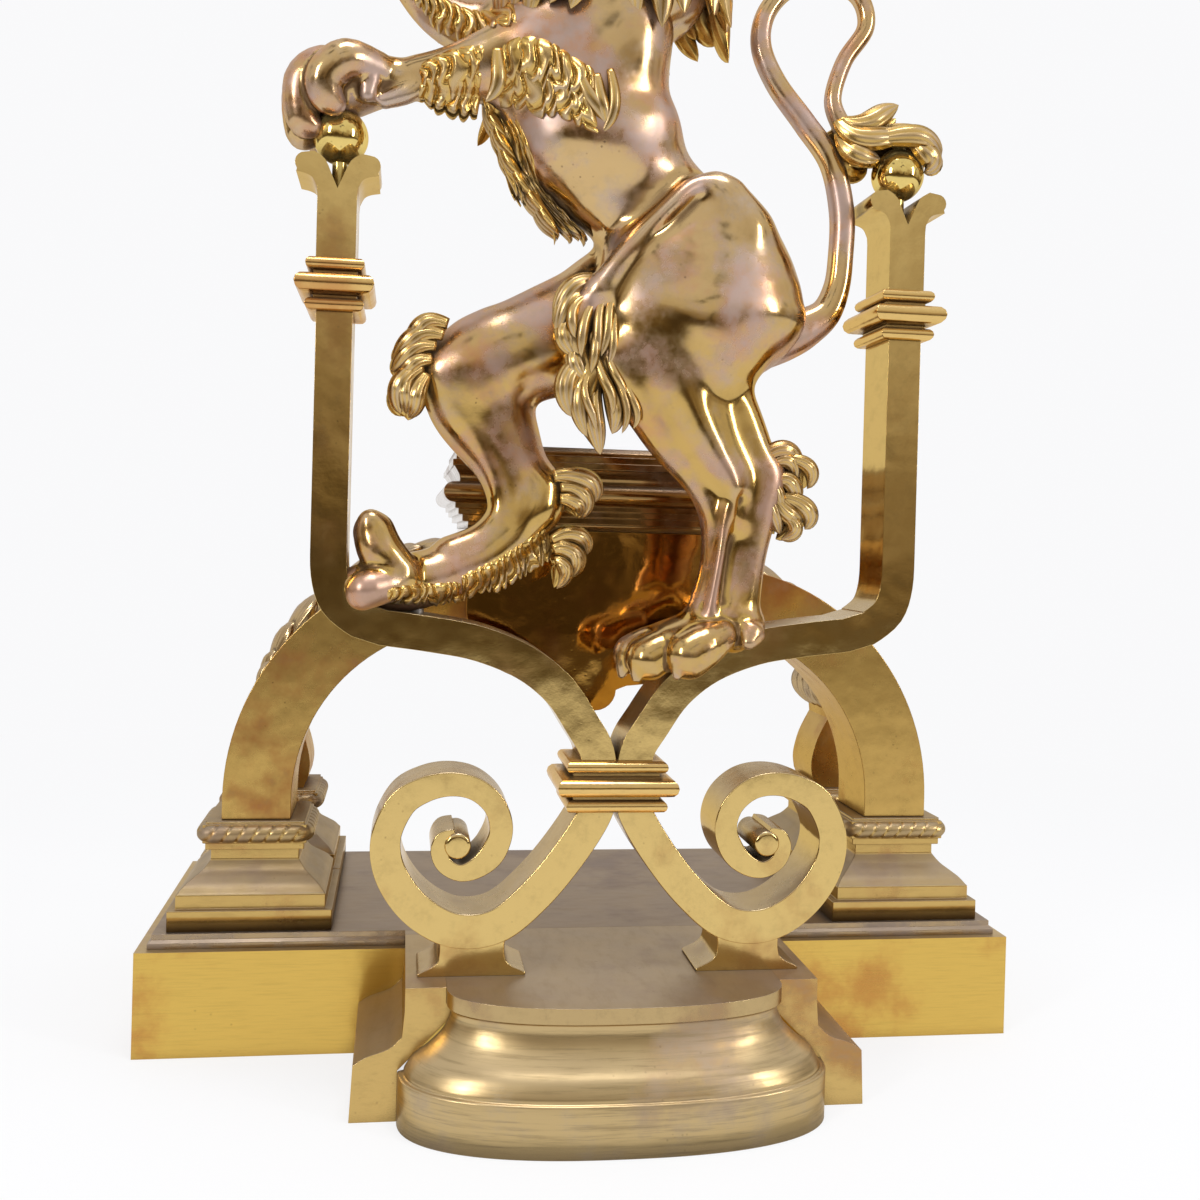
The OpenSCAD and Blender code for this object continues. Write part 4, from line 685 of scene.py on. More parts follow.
def surface_map(clay, from_low):
    """For each x and z of the grid, the y where the clay is first met from one side. Past its outline the y is
    carried on from the edge for a dozen cells."""
    field = clay["far"] if from_low else clay["far"][:, ::-1]
    inside = field < 0
    met = inside.any(axis=1)
    first = np.clip(inside.argmax(axis=1), 1, None)
    i, k = np.indices(first.shape)
    before, after = field[i, first - 1, k], field[i, first, k]
    depth = first - 1 + before / np.where(before == after, 1, before - after)
    depth = depth if from_low else field.shape[1] - 1 - depth
    y = np.where(met, clay["low"][1] + clay_step * depth, 0)
    known = met.astype(float)
    for _ in range(12):
        shifts = [(-1, 0), (1, 0), (-1, 1), (1, 1)]
        share = sum(np.roll(known, *shift) for shift in shifts)
        total = sum(np.roll(y * known, *shift) for shift in shifts)
        y = np.where((known == 0) & (share > 0), total / np.maximum(share, 1), y)
        known = np.maximum(known, share > 0)
    y = np.where(known > 0, y, mid)
    for _ in range(2):
        padded = np.pad(y, 1, mode="edge")
        soft = (padded[:-2, 1:-1] + padded[2:, 1:-1] + padded[1:-1, :-2] + padded[1:-1, 2:]) / 4
        y = 0.5 * y + 0.5 * soft
    return y


# The big masses come first, and are rubbed smooth before the detail goes on. The trunk leans back over the haunches.
body = clay_block(clay_low, clay_size)
press(body, mid, [[62, 0, 420, 36, 31], [54, 0, 438, 42, 34], [36, 0, 458, 38, 31], [12, 0, 483, 34, 27],
                  [-11, 0, 506, 39, 32], [-25, 0, 531, 46, 38], [-28, 0, 560, 49, 38], [-24, 0, 592, 44, 34]], 0)
for side in (-1, 1):
    # rib cage, shoulder blade, and the hollow of the belly under the rib edge
    press(body, mid, [[-38, 10 * side, 508, 16, 20], [-16, 14 * side, 512, 20, 22], [6, 11 * side, 520, 19, 21]], 14)
    press(body, mid, [[-6, 20 * side, 578, 26, 15], [-16, 22 * side, 556, 24, 15], [-30, 21 * side, 540, 18, 13]], 12)
# haunches and thighs
for soft, plane, rows in (
        (12, near, [[50, 1, 466, 28, 20], [50, -1, 424, 47, 28]]),
        (12, near, [[34, -1, 410, 42, 25], [20, -1, 386, 31, 19]]),
        (12, near, [[12, 1, 446, 26, 22], [6, 1, 420, 26, 21]]),
        (10, far, [[44, 0, 448, 38, 22], [0, 0, 422, 38, 23]]),
        (10, far, [[4, 0, 424, 38, 23], [-76, 0, 394, 26, 19]]),
        (10, far, [[-70, 0, 395, 27, 19], [-93, 0, 390, 19, 17]]),
        (10, far, [[52, 0, 436, 44, 22]]),
        # shanks
        (8, near, [[14, -2, 404, 30, 19], [22, -2, 384, 26, 17], [34, -1, 364, 25, 16], [47, 0, 350, 22, 14.5],
                   [60, 0, 336, 18, 13], [68, 3, 320, 14.5, 13], [66, 3, 300, 13, 12], [61, 2, 276, 12.5, 12],
                   [57, 0, 262, 14, 14]]),
        (9, far, [[-84, 0, 386, 24, 18], [-80, 0, 374, 26, 18], [-68, 0, 358, 25, 16], [-58, -1, 340, 20, 14],
                  [-50, -3, 324, 18, 13], [-46, -4, 314, 17, 13]]),
        (7, far, [[-40, -4, 328, 12, 11], [-46, -4, 316, 15, 13], [-60, -7, 298, 14, 13], [-76, -10, 286, 14, 14],
                  [-94, -12, 279, 15, 16], [-112, -16, 274, 16, 17], [-124, -16, 272, 15, 18]]),
        # forelegs: the near one laid out to the ball, the far one raised
        (9, near, [[-6, 0, 566, 36, 21], [-50, 0, 554, 27, 19]]),
        (9, mid, [[-48, -16, 554, 28, 19], [-74, -13, 547, 19, 17], [-98, -8, 541, 13.5, 14], [-119, -6, 539, 11, 12],
                  [-136, -3, 538, 14, 16], [-152, 0, 534, 16, 19]]),
        (9, far, [[-24, 0, 588, 30, 21], [-58, 0, 580, 22, 18], [-86, 0, 577, 15.5, 14.5], [-105, -3, 584, 13, 13],
                  [-119, -5, 599, 12, 12], [-130, -7, 617, 12, 12], [-139, -8, 632, 14.5, 15]])):
    press(body, plane, rows, soft)
rubbed(body, 7)
for side in (-1, 1):
    press(body, mid, [[-36, 39 * side, 472, 9, 8], [-12, 37 * side, 479, 10, 9],
                      [12, 38 * side, 484, 8, 7]], 8, cut=True)
# the crest from the hip down to the thigh, and the hip bone
for soft, plane, rows in (
        (7, near, [[42, -8, 489, 7, 7], [30, -14, 486, 5, 6], [17, -16, 474, 4.5, 6], [3, -16, 459, 4.5, 6],
                   [-9, -14, 444, 5.5, 7], [-17, -11, 430, 8, 8]]),
        (14, near, [[50, -10, 483, 10, 8], [62, -8, 468, 9, 9]]),
        # knee ridges and tendons of the near shank, with a groove between them, and its heel cord
        (6, near, [[-6, -4, 398, 14, 13], [2, -5, 380, 12, 12], [20, -3, 352, 8, 9], [38, -2, 332, 7, 8],
                   [48, -2, 314, 7, 9], [48, -2, 288, 5.5, 8], [43, -1, 262, 7, 9]]),
        (12, near, [[20, -5, 398, 6, 8], [35, -10, 368, 5.5, 7], [47, -12.5, 346, 5, 6], [56, -13, 330, 4, 6],
                    [58, -12, 312, 3, 6]]),
        (4, near, [[54, -11, 318, 3, 5], [50.5, -12, 292, 2.6, 5], [46, -11, 262, 3, 5]])):
    press(body, plane, rows, soft)
press(body, near, [[61, -17, 322, 2.6, 4], [58, -17, 292, 2.6, 4], [54, -16, 268, 2.2, 4]], 5, cut=True)
for soft, plane, rows in (
        (9, near, [[52, 5, 394, 12, 10], [64, 2, 368, 11, 11], [74, 0, 348, 8.5, 9.5], [80, 0, 335, 9, 10],
                   [76, 0, 316, 7, 9], [72, 0, 292, 5, 7], [70, 0, 268, 6, 8]]),
        # the far shank's ridge
        (6, far, [[-98, -2, 388, 9, 12], [-92, -3, 368, 7, 10], [-78, -4, 350, 6, 9], [-68, -5, 332, 6, 9],
                  [-64, -6, 314, 7, 9], [-74, -9, 300, 7, 9], [-92, -12, 292, 7, 10]]),
        # the muscle over the near foreleg
        (8, near, [[-40, -14, 566, 9, 7], [-66, -9, 560, 8, 7], [-92, -1, 551, 5, 6], [-114, 5, 545, 4, 5]])):
    press(body, plane, rows, soft)
rubbed(body, 2)
# the tufts at the front of the near thigh stand on two lumps
for soft, plane, rows in (
        (5, near, [[-18, -6, 428, 10, 10], [-27, -7, 416, 9, 9], [-29, -7, 403, 7, 8], [-24, -6, 392, 6, 7]]),
        (4, near, [[-20, -6, 386, 8, 9], [-25, -7, 374, 8.5, 8], [-20, -7, 360, 6, 6], [-16, -7, 350, 3, 4]]),
        # near foot: heel cup and four round toes with hooked claws
        (5, near, [[69, -2, 256, 10, 12], [62, 0, 250, 10, 14]]),
        (6, mid, [[62, -8, 258, 10, 15], [50, -11, 256, 11, 18], [36, -14, 250, 11, 20], [26, -15, 247, 10, 20]])):
    press(body, plane, rows, soft)
for x, y, z, r in [(36, -121, 242, 13), (16, -113, 239, 12), (11, -97, 240, 11), (19, -82, 241, 10)]:
    press(body, 0, [[x + 16, y + 4, z + 8, r - 4, r - 4], [x + 6, y, z + 3, r - 1, r - 1],
                    [x - 2, y - 1, z - 2, r, r]], 2.0)
    press(body, 0, [[x - 8, y - 5, z - 8, 4.4, 4.4], [x - 9, y - 6, z - 13, 2.2, 2.2]], 1.5)
press(body, near, [[69, -13, 252, 7.5, 6], [66, -17, 247, 4, 4]], 3)
# far foot: four toes along the arm, and one up against the upright
for x, y, z, r in [(-136, -112, 270, 10), (-142, -99, 272, 10), (-141, -85, 272, 9.5), (-134, -73, 271, 9)]:
    press(body, 0, [[x + 22, y * 0.6 + mid * 0.4, z + 4, r - 2, r - 2], [x + 4, y, z + 1, r, r],
                    [x, y, z - 2, r - 1.5, r - 1.5]], 2.5)
press(body, mid, [[-118, -13, 280, 11, 11], [-127, -13, 290, 12, 12], [-131, -12, 300, 11, 11]], 4)
press(body, mid, [[-133, -16, 306, 6, 6]], 3)
# near paw, closed over the ball: four toes, a knuckle at the wrist and a worn lock under it
for x, y, r, low in [(-160, -110, 10.5, 520), (-172, -98, 10.5, 511), (-174, -85, 10, 508), (-166, -73, 9, 508)]:
    press(body, 0, [[x + 24, 0.6 * y + 0.4 * mid, 541, r - 1, r - 1], [x + 9, y, 542, r, r], [x - 1, y, 533, r, r],
                    [x - 1, y + 1, low + 4, r - 1.5, r - 1.5], [x + 3, 0.9 * y + 0.1 * mid, low, r - 4, r - 4]], 1.8)
press(body, mid, [[-139, -18, 533, 5, 4], [-140, -18, 526, 4, 4]], 3)
press(body, mid, [[-112, -12, 534, 5, 5], [-121, -15, 528, 5, 5], [-131, -15, 524, 4, 4]], 5)
# far paw, open
for step_y, rise in ((-22, 0), (-12, 5), (-1, 7), (9, 4)):
    press(body, far, [[-134, 0.8 * step_y, 634 + 0.5 * rise, 7.5, 7.5], [-148, step_y - 2, 640 + rise, 8, 8],
                      [-157, step_y - 3, 643 + rise, 7, 7]], 2.5)
    press(body, far, [[-163, step_y - 3, 642 + rise, 3.4, 3.4], [-168, step_y - 3, 636 + rise, 1.6, 1.6]], 1.5)


lion_finish = metal("lion_bronze", (0.58, 0.38, 0.12), (0.58, 0.28, 0.13), (0.43, 0.375, 0.37), gloss=0.13,
                    stained=0.78, greyed=0.72, tops=0.4, dirt_and_shade=0.9, pits=0.6, hollows="hollow", worn="crest", patch=21.0,
                    higher=(0.61, 0.42, 0.195))
fitted(skin(body, "lion_limbs", lion_finish), "lion_bronze", "lion_body", "lion_near_foreleg",
       "lion_far_foreleg", "lion_near_hind_leg", "lion_far_hind_leg")

# The head: a heavy brow, a square muzzle, an open mouth with the tongue in it, and round ears in the mane.
head = clay_block([-118.5, -139.5, 553.5], (124, 68, 104))
for soft, plane, rows in (
        (0, mid, [[-4, 0, 600, 48, 36], [-12, 0, 628, 44, 35], [-20, 0, 652, 36, 32], [-28, 0, 670, 29, 28]]),
        (6, mid, [[-30, 0, 674, 26, 25], [-46, 0, 673, 24, 23], [-58, 0, 669, 19, 19]]),
        (6, mid, [[-58, 0, 667, 16, 16], [-74, 0, 662, 14.5, 14.5], [-90, 0, 659, 12, 12.5]]),
        (5, mid, [[-54, 0, 682, 8, 9], [-76, 0, 674, 6.5, 8], [-94, 0, 667, 5.5, 8.5]]),
        (4, mid, [[-44, 0, 642, 14, 17], [-62, 0, 635, 9.5, 12], [-80, 0, 631, 7.5, 9], [-89, 0, 632, 6, 7]])):
    press(head, plane, rows, soft)
for side in (-1, 1):
    for soft, rows in (
            (5, [[-53, 9, 688, 6.5, 7], [-65, 10, 684, 5.5, 6]]),  # brow
            (3, [[-82, 8, 655, 9, 7.5], [-92, 6, 654, 7, 6]]),  # upper lip
            (7, [[-50, 18, 658, 13, 9], [-58, 13, 648, 8, 6]]),  # cheek
            (3, [[-30, 20, 686, 8, 6], [-28, 25, 693, 7, 5]])):  # ear
        press(head, mid, np.array(rows) * [1, side, 1, 1, 1], soft)
# the mouth, and the tongue in it
press(head, mid, [[-60, 0, 647, 4.5, 13], [-78, 0, 643, 5.5, 11], [-98, 0, 641, 8, 13]], 1.5, cut=True)
press(head, mid, [[-58, 0, 640, 4, 7], [-80, 0, 640, 2.8, 5.5], [-93, 0, 636, 2.4, 4.5]], 1.5)
for side in (-1, 1):
    for soft, cut, rows in (
            (3, True, [[-66, 16, 677, 6, 5], [-60, 19, 676, 4, 4]]),  # eye socket
            (0.8, False, [[-64, 12.5, 676.5, 4.6, 4.2]]),  # eyeball
            (1.2, False, [[-71, 12.5, 677.5, 1.8, 2], [-65, 15.5, 681, 2.2, 2.4], [-57, 17, 677.5, 2, 2]]),  # upper lid
            (1.2, False, [[-71, 12.5, 675.5, 1.6, 1.8], [-65, 15, 672.5, 1.8, 2], [-57, 17, 675.5, 1.8, 2]]),  # lower
            (0.8, True, [[-101, 4.5, 665, 2, 1.8], [-97, 8, 664, 1.6, 1.8]]),  # nostril
            (0.6, False, [[-91, 5.5, 651, 2, 2], [-92, 5.5, 643, 0.8, 0.8]]),  # fang
            (1.5, True, [[-33, 26, 694, 4, 3.4]])):  # hollow of the ear
        press(head, mid, np.array(rows) * [1, side, 1, 1, 1], soft, cut)
fitted(skin(head, "lion_head_form", lion_finish), "lion_bronze", "lion_head")


def along(line, share):
    """Points at these shares of the length of a line of corners."""
    line = np.asarray(line, float)
    run = np.concatenate([[0], np.cumsum(np.linalg.norm(np.diff(line, axis=0), axis=1))])
    return np.stack([np.interp(np.asarray(share) * run[-1], run, line[:, k]) for k in range(line.shape[1])], axis=-1)


def locks(name, paths, outward, width, thick, finish, strands=3, wave=0.0, turns=1.0, seed=1, rings=14, sides=18):
    """Locks of hair, all in one mesh. Each follows a cubic Bezier with a sideways wave. Its section is an ellipse
    that swells and then tapers to a tip, with its outline waved by strands: radius = 1 + depth cos(strands angle).
    Width and thickness are one for all or one for each lock."""
    chance = np.random.default_rng(seed)
    paths, outward = np.asarray(paths, float), np.asarray(outward, float)
    count = len(paths)
    s = np.linspace(0, 1, rings)[None, :, None]
    a, b, c, d = [paths[:, k, None, :] for k in range(4)]
    centre = (1 - s) ** 3 * a + 3 * (1 - s) ** 2 * s * b + 3 * (1 - s) * s ** 2 * c + s ** 3 * d
    out = outward[:, None, :] + np.zeros_like(centre)
    across = unit(np.cross(unit(np.gradient(centre, axis=1)), out))
    phase = chance.uniform(-0.35, 0.35, (count, 1, 1))
    amount = wave * chance.uniform(0.6, 1.3, (count, 1, 1))
    centre = centre + across * amount * np.sin(2 * np.pi * turns * s + phase) * s ** 0.7
    heading = unit(np.gradient(centre, axis=1))
    across = unit(np.cross(heading, out))
    up = np.cross(across, heading)
    swell = (0.45 + 0.9 * s) * (1 - s ** 3) ** 0.8 + 0.03
    swell = swell / swell.max()
    wide = np.asarray(width, float).reshape(-1, 1, 1) * chance.uniform(0.85, 1.15, (count, 1, 1)) * swell
    high = np.asarray(thick, float).reshape(-1, 1, 1) * (0.55 + 0.45 * np.sin(np.pi * np.clip(s * 1.1, 0, 1))) * swell
    turn = (2 * np.pi * np.arange(sides) / sides)[None, None, :]
    groove = 1 + 0.22 * (np.abs(np.cos(strands * turn + 0.8 * np.sin(3 * s + phase))) ** 0.7 - 0.6) * (1 - 0.5 * s ** 4)
    spread = (wide * np.cos(turn) * groove)[..., None]
    lift = (high * np.sin(turn) * groove)[..., None]
    ring = centre[:, :, None, :] + across[:, :, None, :] * spread + up[:, :, None, :] * lift
    points = np.concatenate([ring.reshape(count, -1, 3), centre[:, :1], centre[:, -1:] + 0.02 * (d - c)], axis=1)
    each = rings * sides + 2
    j, k = np.indices((rings - 1, sides))
    k2 = (k + 1) % sides
    quads = np.stack([j * sides + k, (j + 1) * sides + k, (j + 1) * sides + k2, j * sides + k2], axis=-1).reshape(-1, 4)
    k = np.arange(sides)
    k2 = (k + 1) % sides
    root = np.stack([k, k2, np.full(sides, each - 2)], axis=-1)
    end = (rings - 1) * sides
    tip = np.stack([end + k2, end + k, np.full(sides, each - 1)], axis=-1)
    shift = each * np.arange(count)[:, None, None]
    faces = (quads[None] + shift).reshape(-1, 4).tolist()
    faces += (root[None] + shift).reshape(-1, 3).tolist() + (tip[None] + shift).reshape(-1, 3).tolist()
    crest = np.clip((groove - 0.96) / 0.08, 0, 1) * np.clip(np.sin(turn) * 1.6 - 0.2, 0, 1) * (0.35 + 0.65 * s)
    crest = np.concatenate([crest.reshape(count, -1), np.zeros((count, 2))], axis=1)
    return meshed(name, points * 0.001, faces, finish, crest=crest)


front_of_lion = surface_map(body, True)
back_of_lion = surface_map(body, False)


def side_of_lion(flat, side):
    """The lion's y on one side at points in x and z."""
    return sampled(front_of_lion if side < 0 else back_of_lion, clay_low[[0, 2]], flat)


def combed(name, root_line, tip_line, strands, high, wave=0.45, turns=1.0, lean=0.0, seed=1):
    """Low sheets of combed hair, one on each side of the lion, from a root line to a tip line in x and z. Strands are
    ridges |sin(pi w)| to a low power, where w counts strands along the lines and swings with a sine down their
    length. Roots sink into the lion, tips end unevenly, and the back of the sheet lies inside the lion."""
    chance = np.random.default_rng(seed)
    across, down = np.linspace(0, 1, strands * 14 + 1), np.linspace(0, 1, 60)[None, :]

    def uneven(low, top):
        knots = np.linspace(0, 1, strands + 1)
        return np.interp(across, knots, chance.uniform(low, top, strands + 1))[:, None]

    w = (strands * across[:, None] + uneven(-0.3, 0.3) + lean * down
         + wave * uneven(0.6, 1.3) * np.sin(2 * np.pi * (turns * down + uneven(0, 0.4))) * (0.4 + 0.6 * down))
    ridge = np.abs(np.sin(np.pi * w)) ** 0.65
    thin = np.abs(np.sin(3 * np.pi * w)) ** 0.8
    length = uneven(0.78, 1.0) * (0.82 + 0.18 * ridge[:, -1:])
    first, last = along(flowing(root_line, 6), across), along(flowing(tip_line, 6), across)
    flat = first[:, None] + (down * length)[..., None] * (last - first)[:, None]
    edge = np.clip(np.minimum(across, 1 - across) * strands / 0.8, 0, 1)[:, None]
    proud = np.sin(np.pi / 2 * np.clip(down / 0.3, 0, 1)) * np.sin(np.pi / 2 * edge)
    tip = np.clip((down - 0.86) / 0.14, 0, 1) ** 2
    height = -0.9 + proud * (0.9 + high * uneven(0.75, 1.05) * (0.08 + 0.87 * ridge + 0.05 * thin) * (1 - 0.55 * tip))
    crest = np.clip((ridge - 0.8) / 0.2, 0, 1) * proud * (0.25 + 0.75 * down)
    # The grooves between strands get a hollow value, which the finish darkens with dirt and painted shade.
    hollow = 1 - np.clip(ridge / 0.5, 0, 1)
    for side, word in ((-1, "front"), (1, "back")):
        y = side_of_lion(flat, side)
        top = np.stack([flat[..., 0], y + side * height, flat[..., 1]], axis=-1)
        under = np.stack([flat[..., 0], y - side * 3.0, flat[..., 1]], axis=-1)
        ring = np.concatenate([top, under[:, ::-1]], axis=1) * 0.001
        blank = np.zeros_like(crest)
        piece = grid_mesh(name + "_" + word, ring, fur_finish, around=True, caps=(0, 1),
                          crest=np.concatenate([crest, blank], axis=1),
                          hollow=np.concatenate([hollow + blank, blank], axis=1))
        work = bmesh.new()
        work.from_mesh(piece.data)
        bmesh.ops.recalc_face_normals(work, faces=work.faces)
        work.to_mesh(piece.data)
        work.free()
        fitted(piece, "lion_bronze")


def curls(rows, root_y, tip_y, side=-1):
    """Paths of single curls: four points each in x and z, and a depth that runs from the root to the tip."""
    rows = np.asarray(rows, float).reshape(-1, 4, 2)
    y = (root_y + np.array([0, 0.35, 0.7, 1]) * (tip_y - root_y)) + np.zeros((len(rows), 1))
    y = y + side * np.array([0.0, 1.5, 1.5, 0.0])
    return (np.stack([rows[..., 0], y, rows[..., 1]], axis=-1),
            np.tile([0.0, side, 0.0], (len(rows), 1)))


def tuft(name, groups, finish, **shape):
    """One mesh of several groups of curls."""
    paths = np.concatenate([g[0] for g in groups])
    outs = np.concatenate([g[1] for g in groups])
    return fitted(locks(name, paths, outs, finish=finish, **shape), "lion_bronze")


fur_finish = metal("lion_fur", (0.64, 0.42, 0.125), (0.50, 0.26, 0.08), (0.42, 0.365, 0.345), gloss=0.22,
                   stained=0.45, greyed=0.1, tops=0.0, dirt_and_shade=1.0, hollows="hollow", worn="crest")
# Elbow: two combed sheets of wavy hair, parted by a worn lock, that end in two pointed locks.
combed("elbow_fur_low_left", [(-114, 536), (-105, 539), (-93, 541), (-80, 541)],
       [(-115, 526), (-106, 521), (-96, 519), (-83, 520)], 5, 3.0, lean=-0.8, seed=2)
combed("elbow_fur_high_left", [(-115, 543), (-105, 549), (-93, 553), (-79, 553)],
       [(-113, 531), (-106, 527), (-97, 526), (-86, 526)], 5, 3.3, lean=-1.0, seed=3)
combed("elbow_fur_low_right", [(-74, 543), (-60, 542), (-47, 538), (-35, 532), (-25, 528)],
       [(-73, 524), (-58, 518), (-44, 513), (-33, 508), (-20, 506)], 7, 3.3, lean=0.5, seed=4)
combed("elbow_fur_high_right", [(-73, 553), (-62, 557), (-48, 554), (-34, 546), (-24, 541)],
       [(-73, 531), (-60, 528), (-46, 523), (-33, 518), (-21, 515)], 8, 3.5, lean=0.9, seed=5)
elbow_locks = [[(-75, 547), (-74, 538), (-72, 530), (-80, 520)], [(-33, 541), (-30, 530), (-24, 521), (-15, 512)],
               [(-17, 541), (-13, 531), (-13, 521), (-20, 508)], [(-24, 538), (-22, 530), (-20, 520), (-18, 512)]]
tuft("elbow_locks", [curls(elbow_locks, -129, -127), curls(elbow_locks, -50, -52, 1)], fur_finish,
     width=3.4, thick=3.0, strands=3, wave=0.8, seed=4, rings=18, sides=18)
# Chest: hair that runs down along the front edge of the trunk.
combed("chest_fur_low", [(-71, 506), (-58, 496)], [(-36, 458), (-14, 457)], 7, 2.6, wave=0.6, turns=1.8, seed=6)
combed("chest_fur_high", [(-81, 530), (-62, 520)], [(-58, 474), (-42, 472)], 6, 2.8, wave=0.6, turns=1.8, seed=7)
crest_x, crest_z = along([(-80, 530), (-70, 506), (-52, 482)], np.linspace(0, 1, 6)).T
crest_paths = np.stack([
    np.stack([crest_x - 0.8 * out + 0.6 * down, 0 * crest_x, crest_z - 0.6 * out - 0.8 * down], axis=1)
    for out, down in ((-3, -2), (1.5, 7), (2, 15), (0, 25))], axis=1)
crest_paths = np.concatenate([crest_paths + [0, mid + y, 0] for y in (-7, 0, 7)])
fitted(locks("chest_ridge", crest_paths, np.tile([-0.8, 0, -0.6], (len(crest_paths), 1)), 4.0, 3.2, fur_finish,
             strands=3, wave=1.2, seed=9, rings=18, sides=18), "lion_bronze")
# Front of the near thigh: an upper bunch of small curls and a lower bunch that ends in a point.
tuft("thigh_curls", [
    curls([[(-14, 435), (-27, 437), (-38, 430), (-41, 414)], [(-20, 430), (-31, 430), (-39, 421), (-39, 406)],
           [(-29, 417), (-37, 412), (-38, 401), (-29, 395)], [(-26, 402), (-32, 396), (-30, 387), (-23, 383)]],
          -112, -117),
    curls([[(-21, 394), (-33, 389), (-39, 377), (-30, 363)], [(-20, 390), (-28, 380), (-30, 366), (-22, 353)],
           [(-17, 386), (-20, 373), (-20, 358), (-15, 344)], [(-14, 388), (-8, 376), (-6, 366), (-9, 355)]],
          -113, -117)],
     fur_finish, width=5.4, thick=5.0, strands=6, wave=0.8, seed=8, rings=20, sides=36)
tuft("thigh_strands", [
    curls([[(-24, 426), (-32, 422), (-36, 411), (-30, 404)], [(-20, 427), (-23, 417), (-30, 406), (-27, 394)],
           [(-16, 430), (-15, 418), (-22, 405), (-20, 391)], [(-11, 432), (-9, 420), (-17, 408), (-16, 395)],
           [(-10, 422), (-7, 412), (-13, 402), (-12, 390)], [(-18, 412), (-17, 404), (-23, 396), (-21, 386)],
           [(-19, 395), (-14, 386), (-13, 376), (-9, 365)], [(-12, 392), (-4, 380), (-1, 368), (-4, 355)],
           [(-8, 388), (2, 378), (4, 368), (1, 358)], [(-14, 398), (-9, 390), (-7, 380), (-3, 372)],
           [(-22, 388), (-25, 378), (-24, 366), (-18, 356)]], -118, -121)],
     fur_finish, width=2.6, thick=3.0, strands=3, wave=1.6, seed=9, rings=20, sides=16)
# Far knee: three combed lobes over a hanging one.
far_knee = [[(-95, 413), (-106, 416), (-114, 411), (-116, 401)], [(-97, 407), (-108, 410), (-119, 402), (-124, 393)],
            [(-101, 401), (-111, 402), (-120, 395), (-124, 386)], [(-103, 394), (-110, 393), (-117, 389), (-121, 384)],
            [(-108, 390), (-118, 386), (-125, 374), (-119, 364)], [(-106, 386), (-110, 377), (-112, 370), (-115, 362)],
            [(-112, 386), (-118, 380), (-118, 371), (-116, 364)]]
tuft("far_knee_fur", [curls(far_knee, -88, -86), curls(far_knee, -66, -70, 1)], fur_finish,
     width=5.2, thick=6.0, strands=6, wave=1.0, seed=10, rings=20, sides=36)
# Hocks: a horn-like curl over smaller ones behind each heel.
near_hock = [[(74, 342), (78, 353), (91, 354), (97, 341)], [(79, 341), (84, 349), (92, 346), (94, 333)],
             [(86, 345), (97, 348), (106, 340), (101, 330)], [(80, 331), (88, 340), (94, 331), (95, 321)],
             [(85, 324), (97, 326), (105, 316), (100, 308)], [(86, 316), (95, 313), (97, 305), (87, 302)],
             [(80, 328), (85, 319), (93, 313), (98, 310)], [(74, 332), (80, 322), (82, 312), (86, 305)],
             [(76, 340), (82, 332), (86, 322), (84, 312)]]
far_hock = [[(-36, 333), (-23, 337), (-11, 331), (-12, 320)], [(-32, 327), (-21, 330), (-15, 322), (-19, 311)],
            [(-32, 321), (-25, 322), (-19, 318), (-21, 312)], [(-36, 298), (-27, 306), (-15, 302), (-16, 291)],
            [(-35, 293), (-29, 297), (-19, 292), (-22, 279)], [(-34, 287), (-30, 289), (-24, 282), (-32, 272)],
            [(-32, 298), (-23, 294), (-19, 286), (-26, 278)]]
tuft("hock_fur", [curls(near_hock, -110, -107), curls(near_hock, -95, -97, 1), curls(far_hock, -88, -84),
                  curls(far_hock, -66, -70, 1)], fur_finish,
     width=4.8, thick=5.2, strands=6, wave=0.9, seed=11, rings=20, sides=36)
combed("foot_fur_heel", [(-86, 279), (-68, 288), (-51, 299), (-38, 307)],
       [(-84, 262), (-65, 268), (-48, 277), (-34, 287)], 12, 2.4, lean=0.8, seed=12)
combed("foot_fur_side", [(-124, 272), (-112, 274), (-98, 275), (-84, 276)],
       [(-124, 262), (-112, 261), (-98, 260), (-84, 261)], 9, 2.2, lean=0.6, seed=13)
combed("far_elbow_fur", [(-124, 600), (-108, 590), (-88, 584), (-66, 582)],
       [(-122, 586), (-106, 570), (-86, 562), (-64, 560)], 12, 2.8, lean=-0.6, seed=14)

# The mane: rings of locks round the neck, from the brow to the chest, each row lying over the next.
mane_axis = flowing([[-34, mid, 690], [-26, mid, 668], [-14, mid, 636], [-2, mid, 600], [2, mid, 580]], 8)
chance = np.random.default_rng(22)
paths, outs = [], []
for row, (place, round_x, round_y, many) in enumerate([
        (0.0, 24, 23, 12), (0.13, 31, 28, 15), (0.26, 37, 32, 17), (0.4, 42, 34, 18), (0.54, 46, 36, 19),
        (0.68, 49, 38, 19)]):
    turn = 2 * np.pi * (np.arange(many) + 0.5 * (row % 2) + chance.uniform(-0.2, 0.2, many)) / many
    base = along(mane_axis, np.full(many, place))
    ahead_axis = unit(along(mane_axis, np.full(many, min(place + 0.1, 1))) - base)
    out = np.stack([np.cos(turn), np.sin(turn), 0.0 * turn], axis=1)
    aside = np.stack([-np.sin(turn), np.cos(turn), 0.0 * turn], axis=1) * chance.uniform(-7, 7, (many, 1))
    size = np.stack([round_x * np.cos(turn), round_y * np.sin(turn), 0.0 * turn], axis=1)
    root, fall = base + 0.9 * size, chance.uniform(0.85, 1.25, (many, 1)) * ahead_axis
    paths.append(np.stack([root, root + 8 * out + 10 * fall, root + 6 * out + aside + 28 * fall,
                           root + chance.uniform(2, 9, (many, 1)) * out + 0.4 * aside + 44 * fall], axis=1))
    outs.append(out)
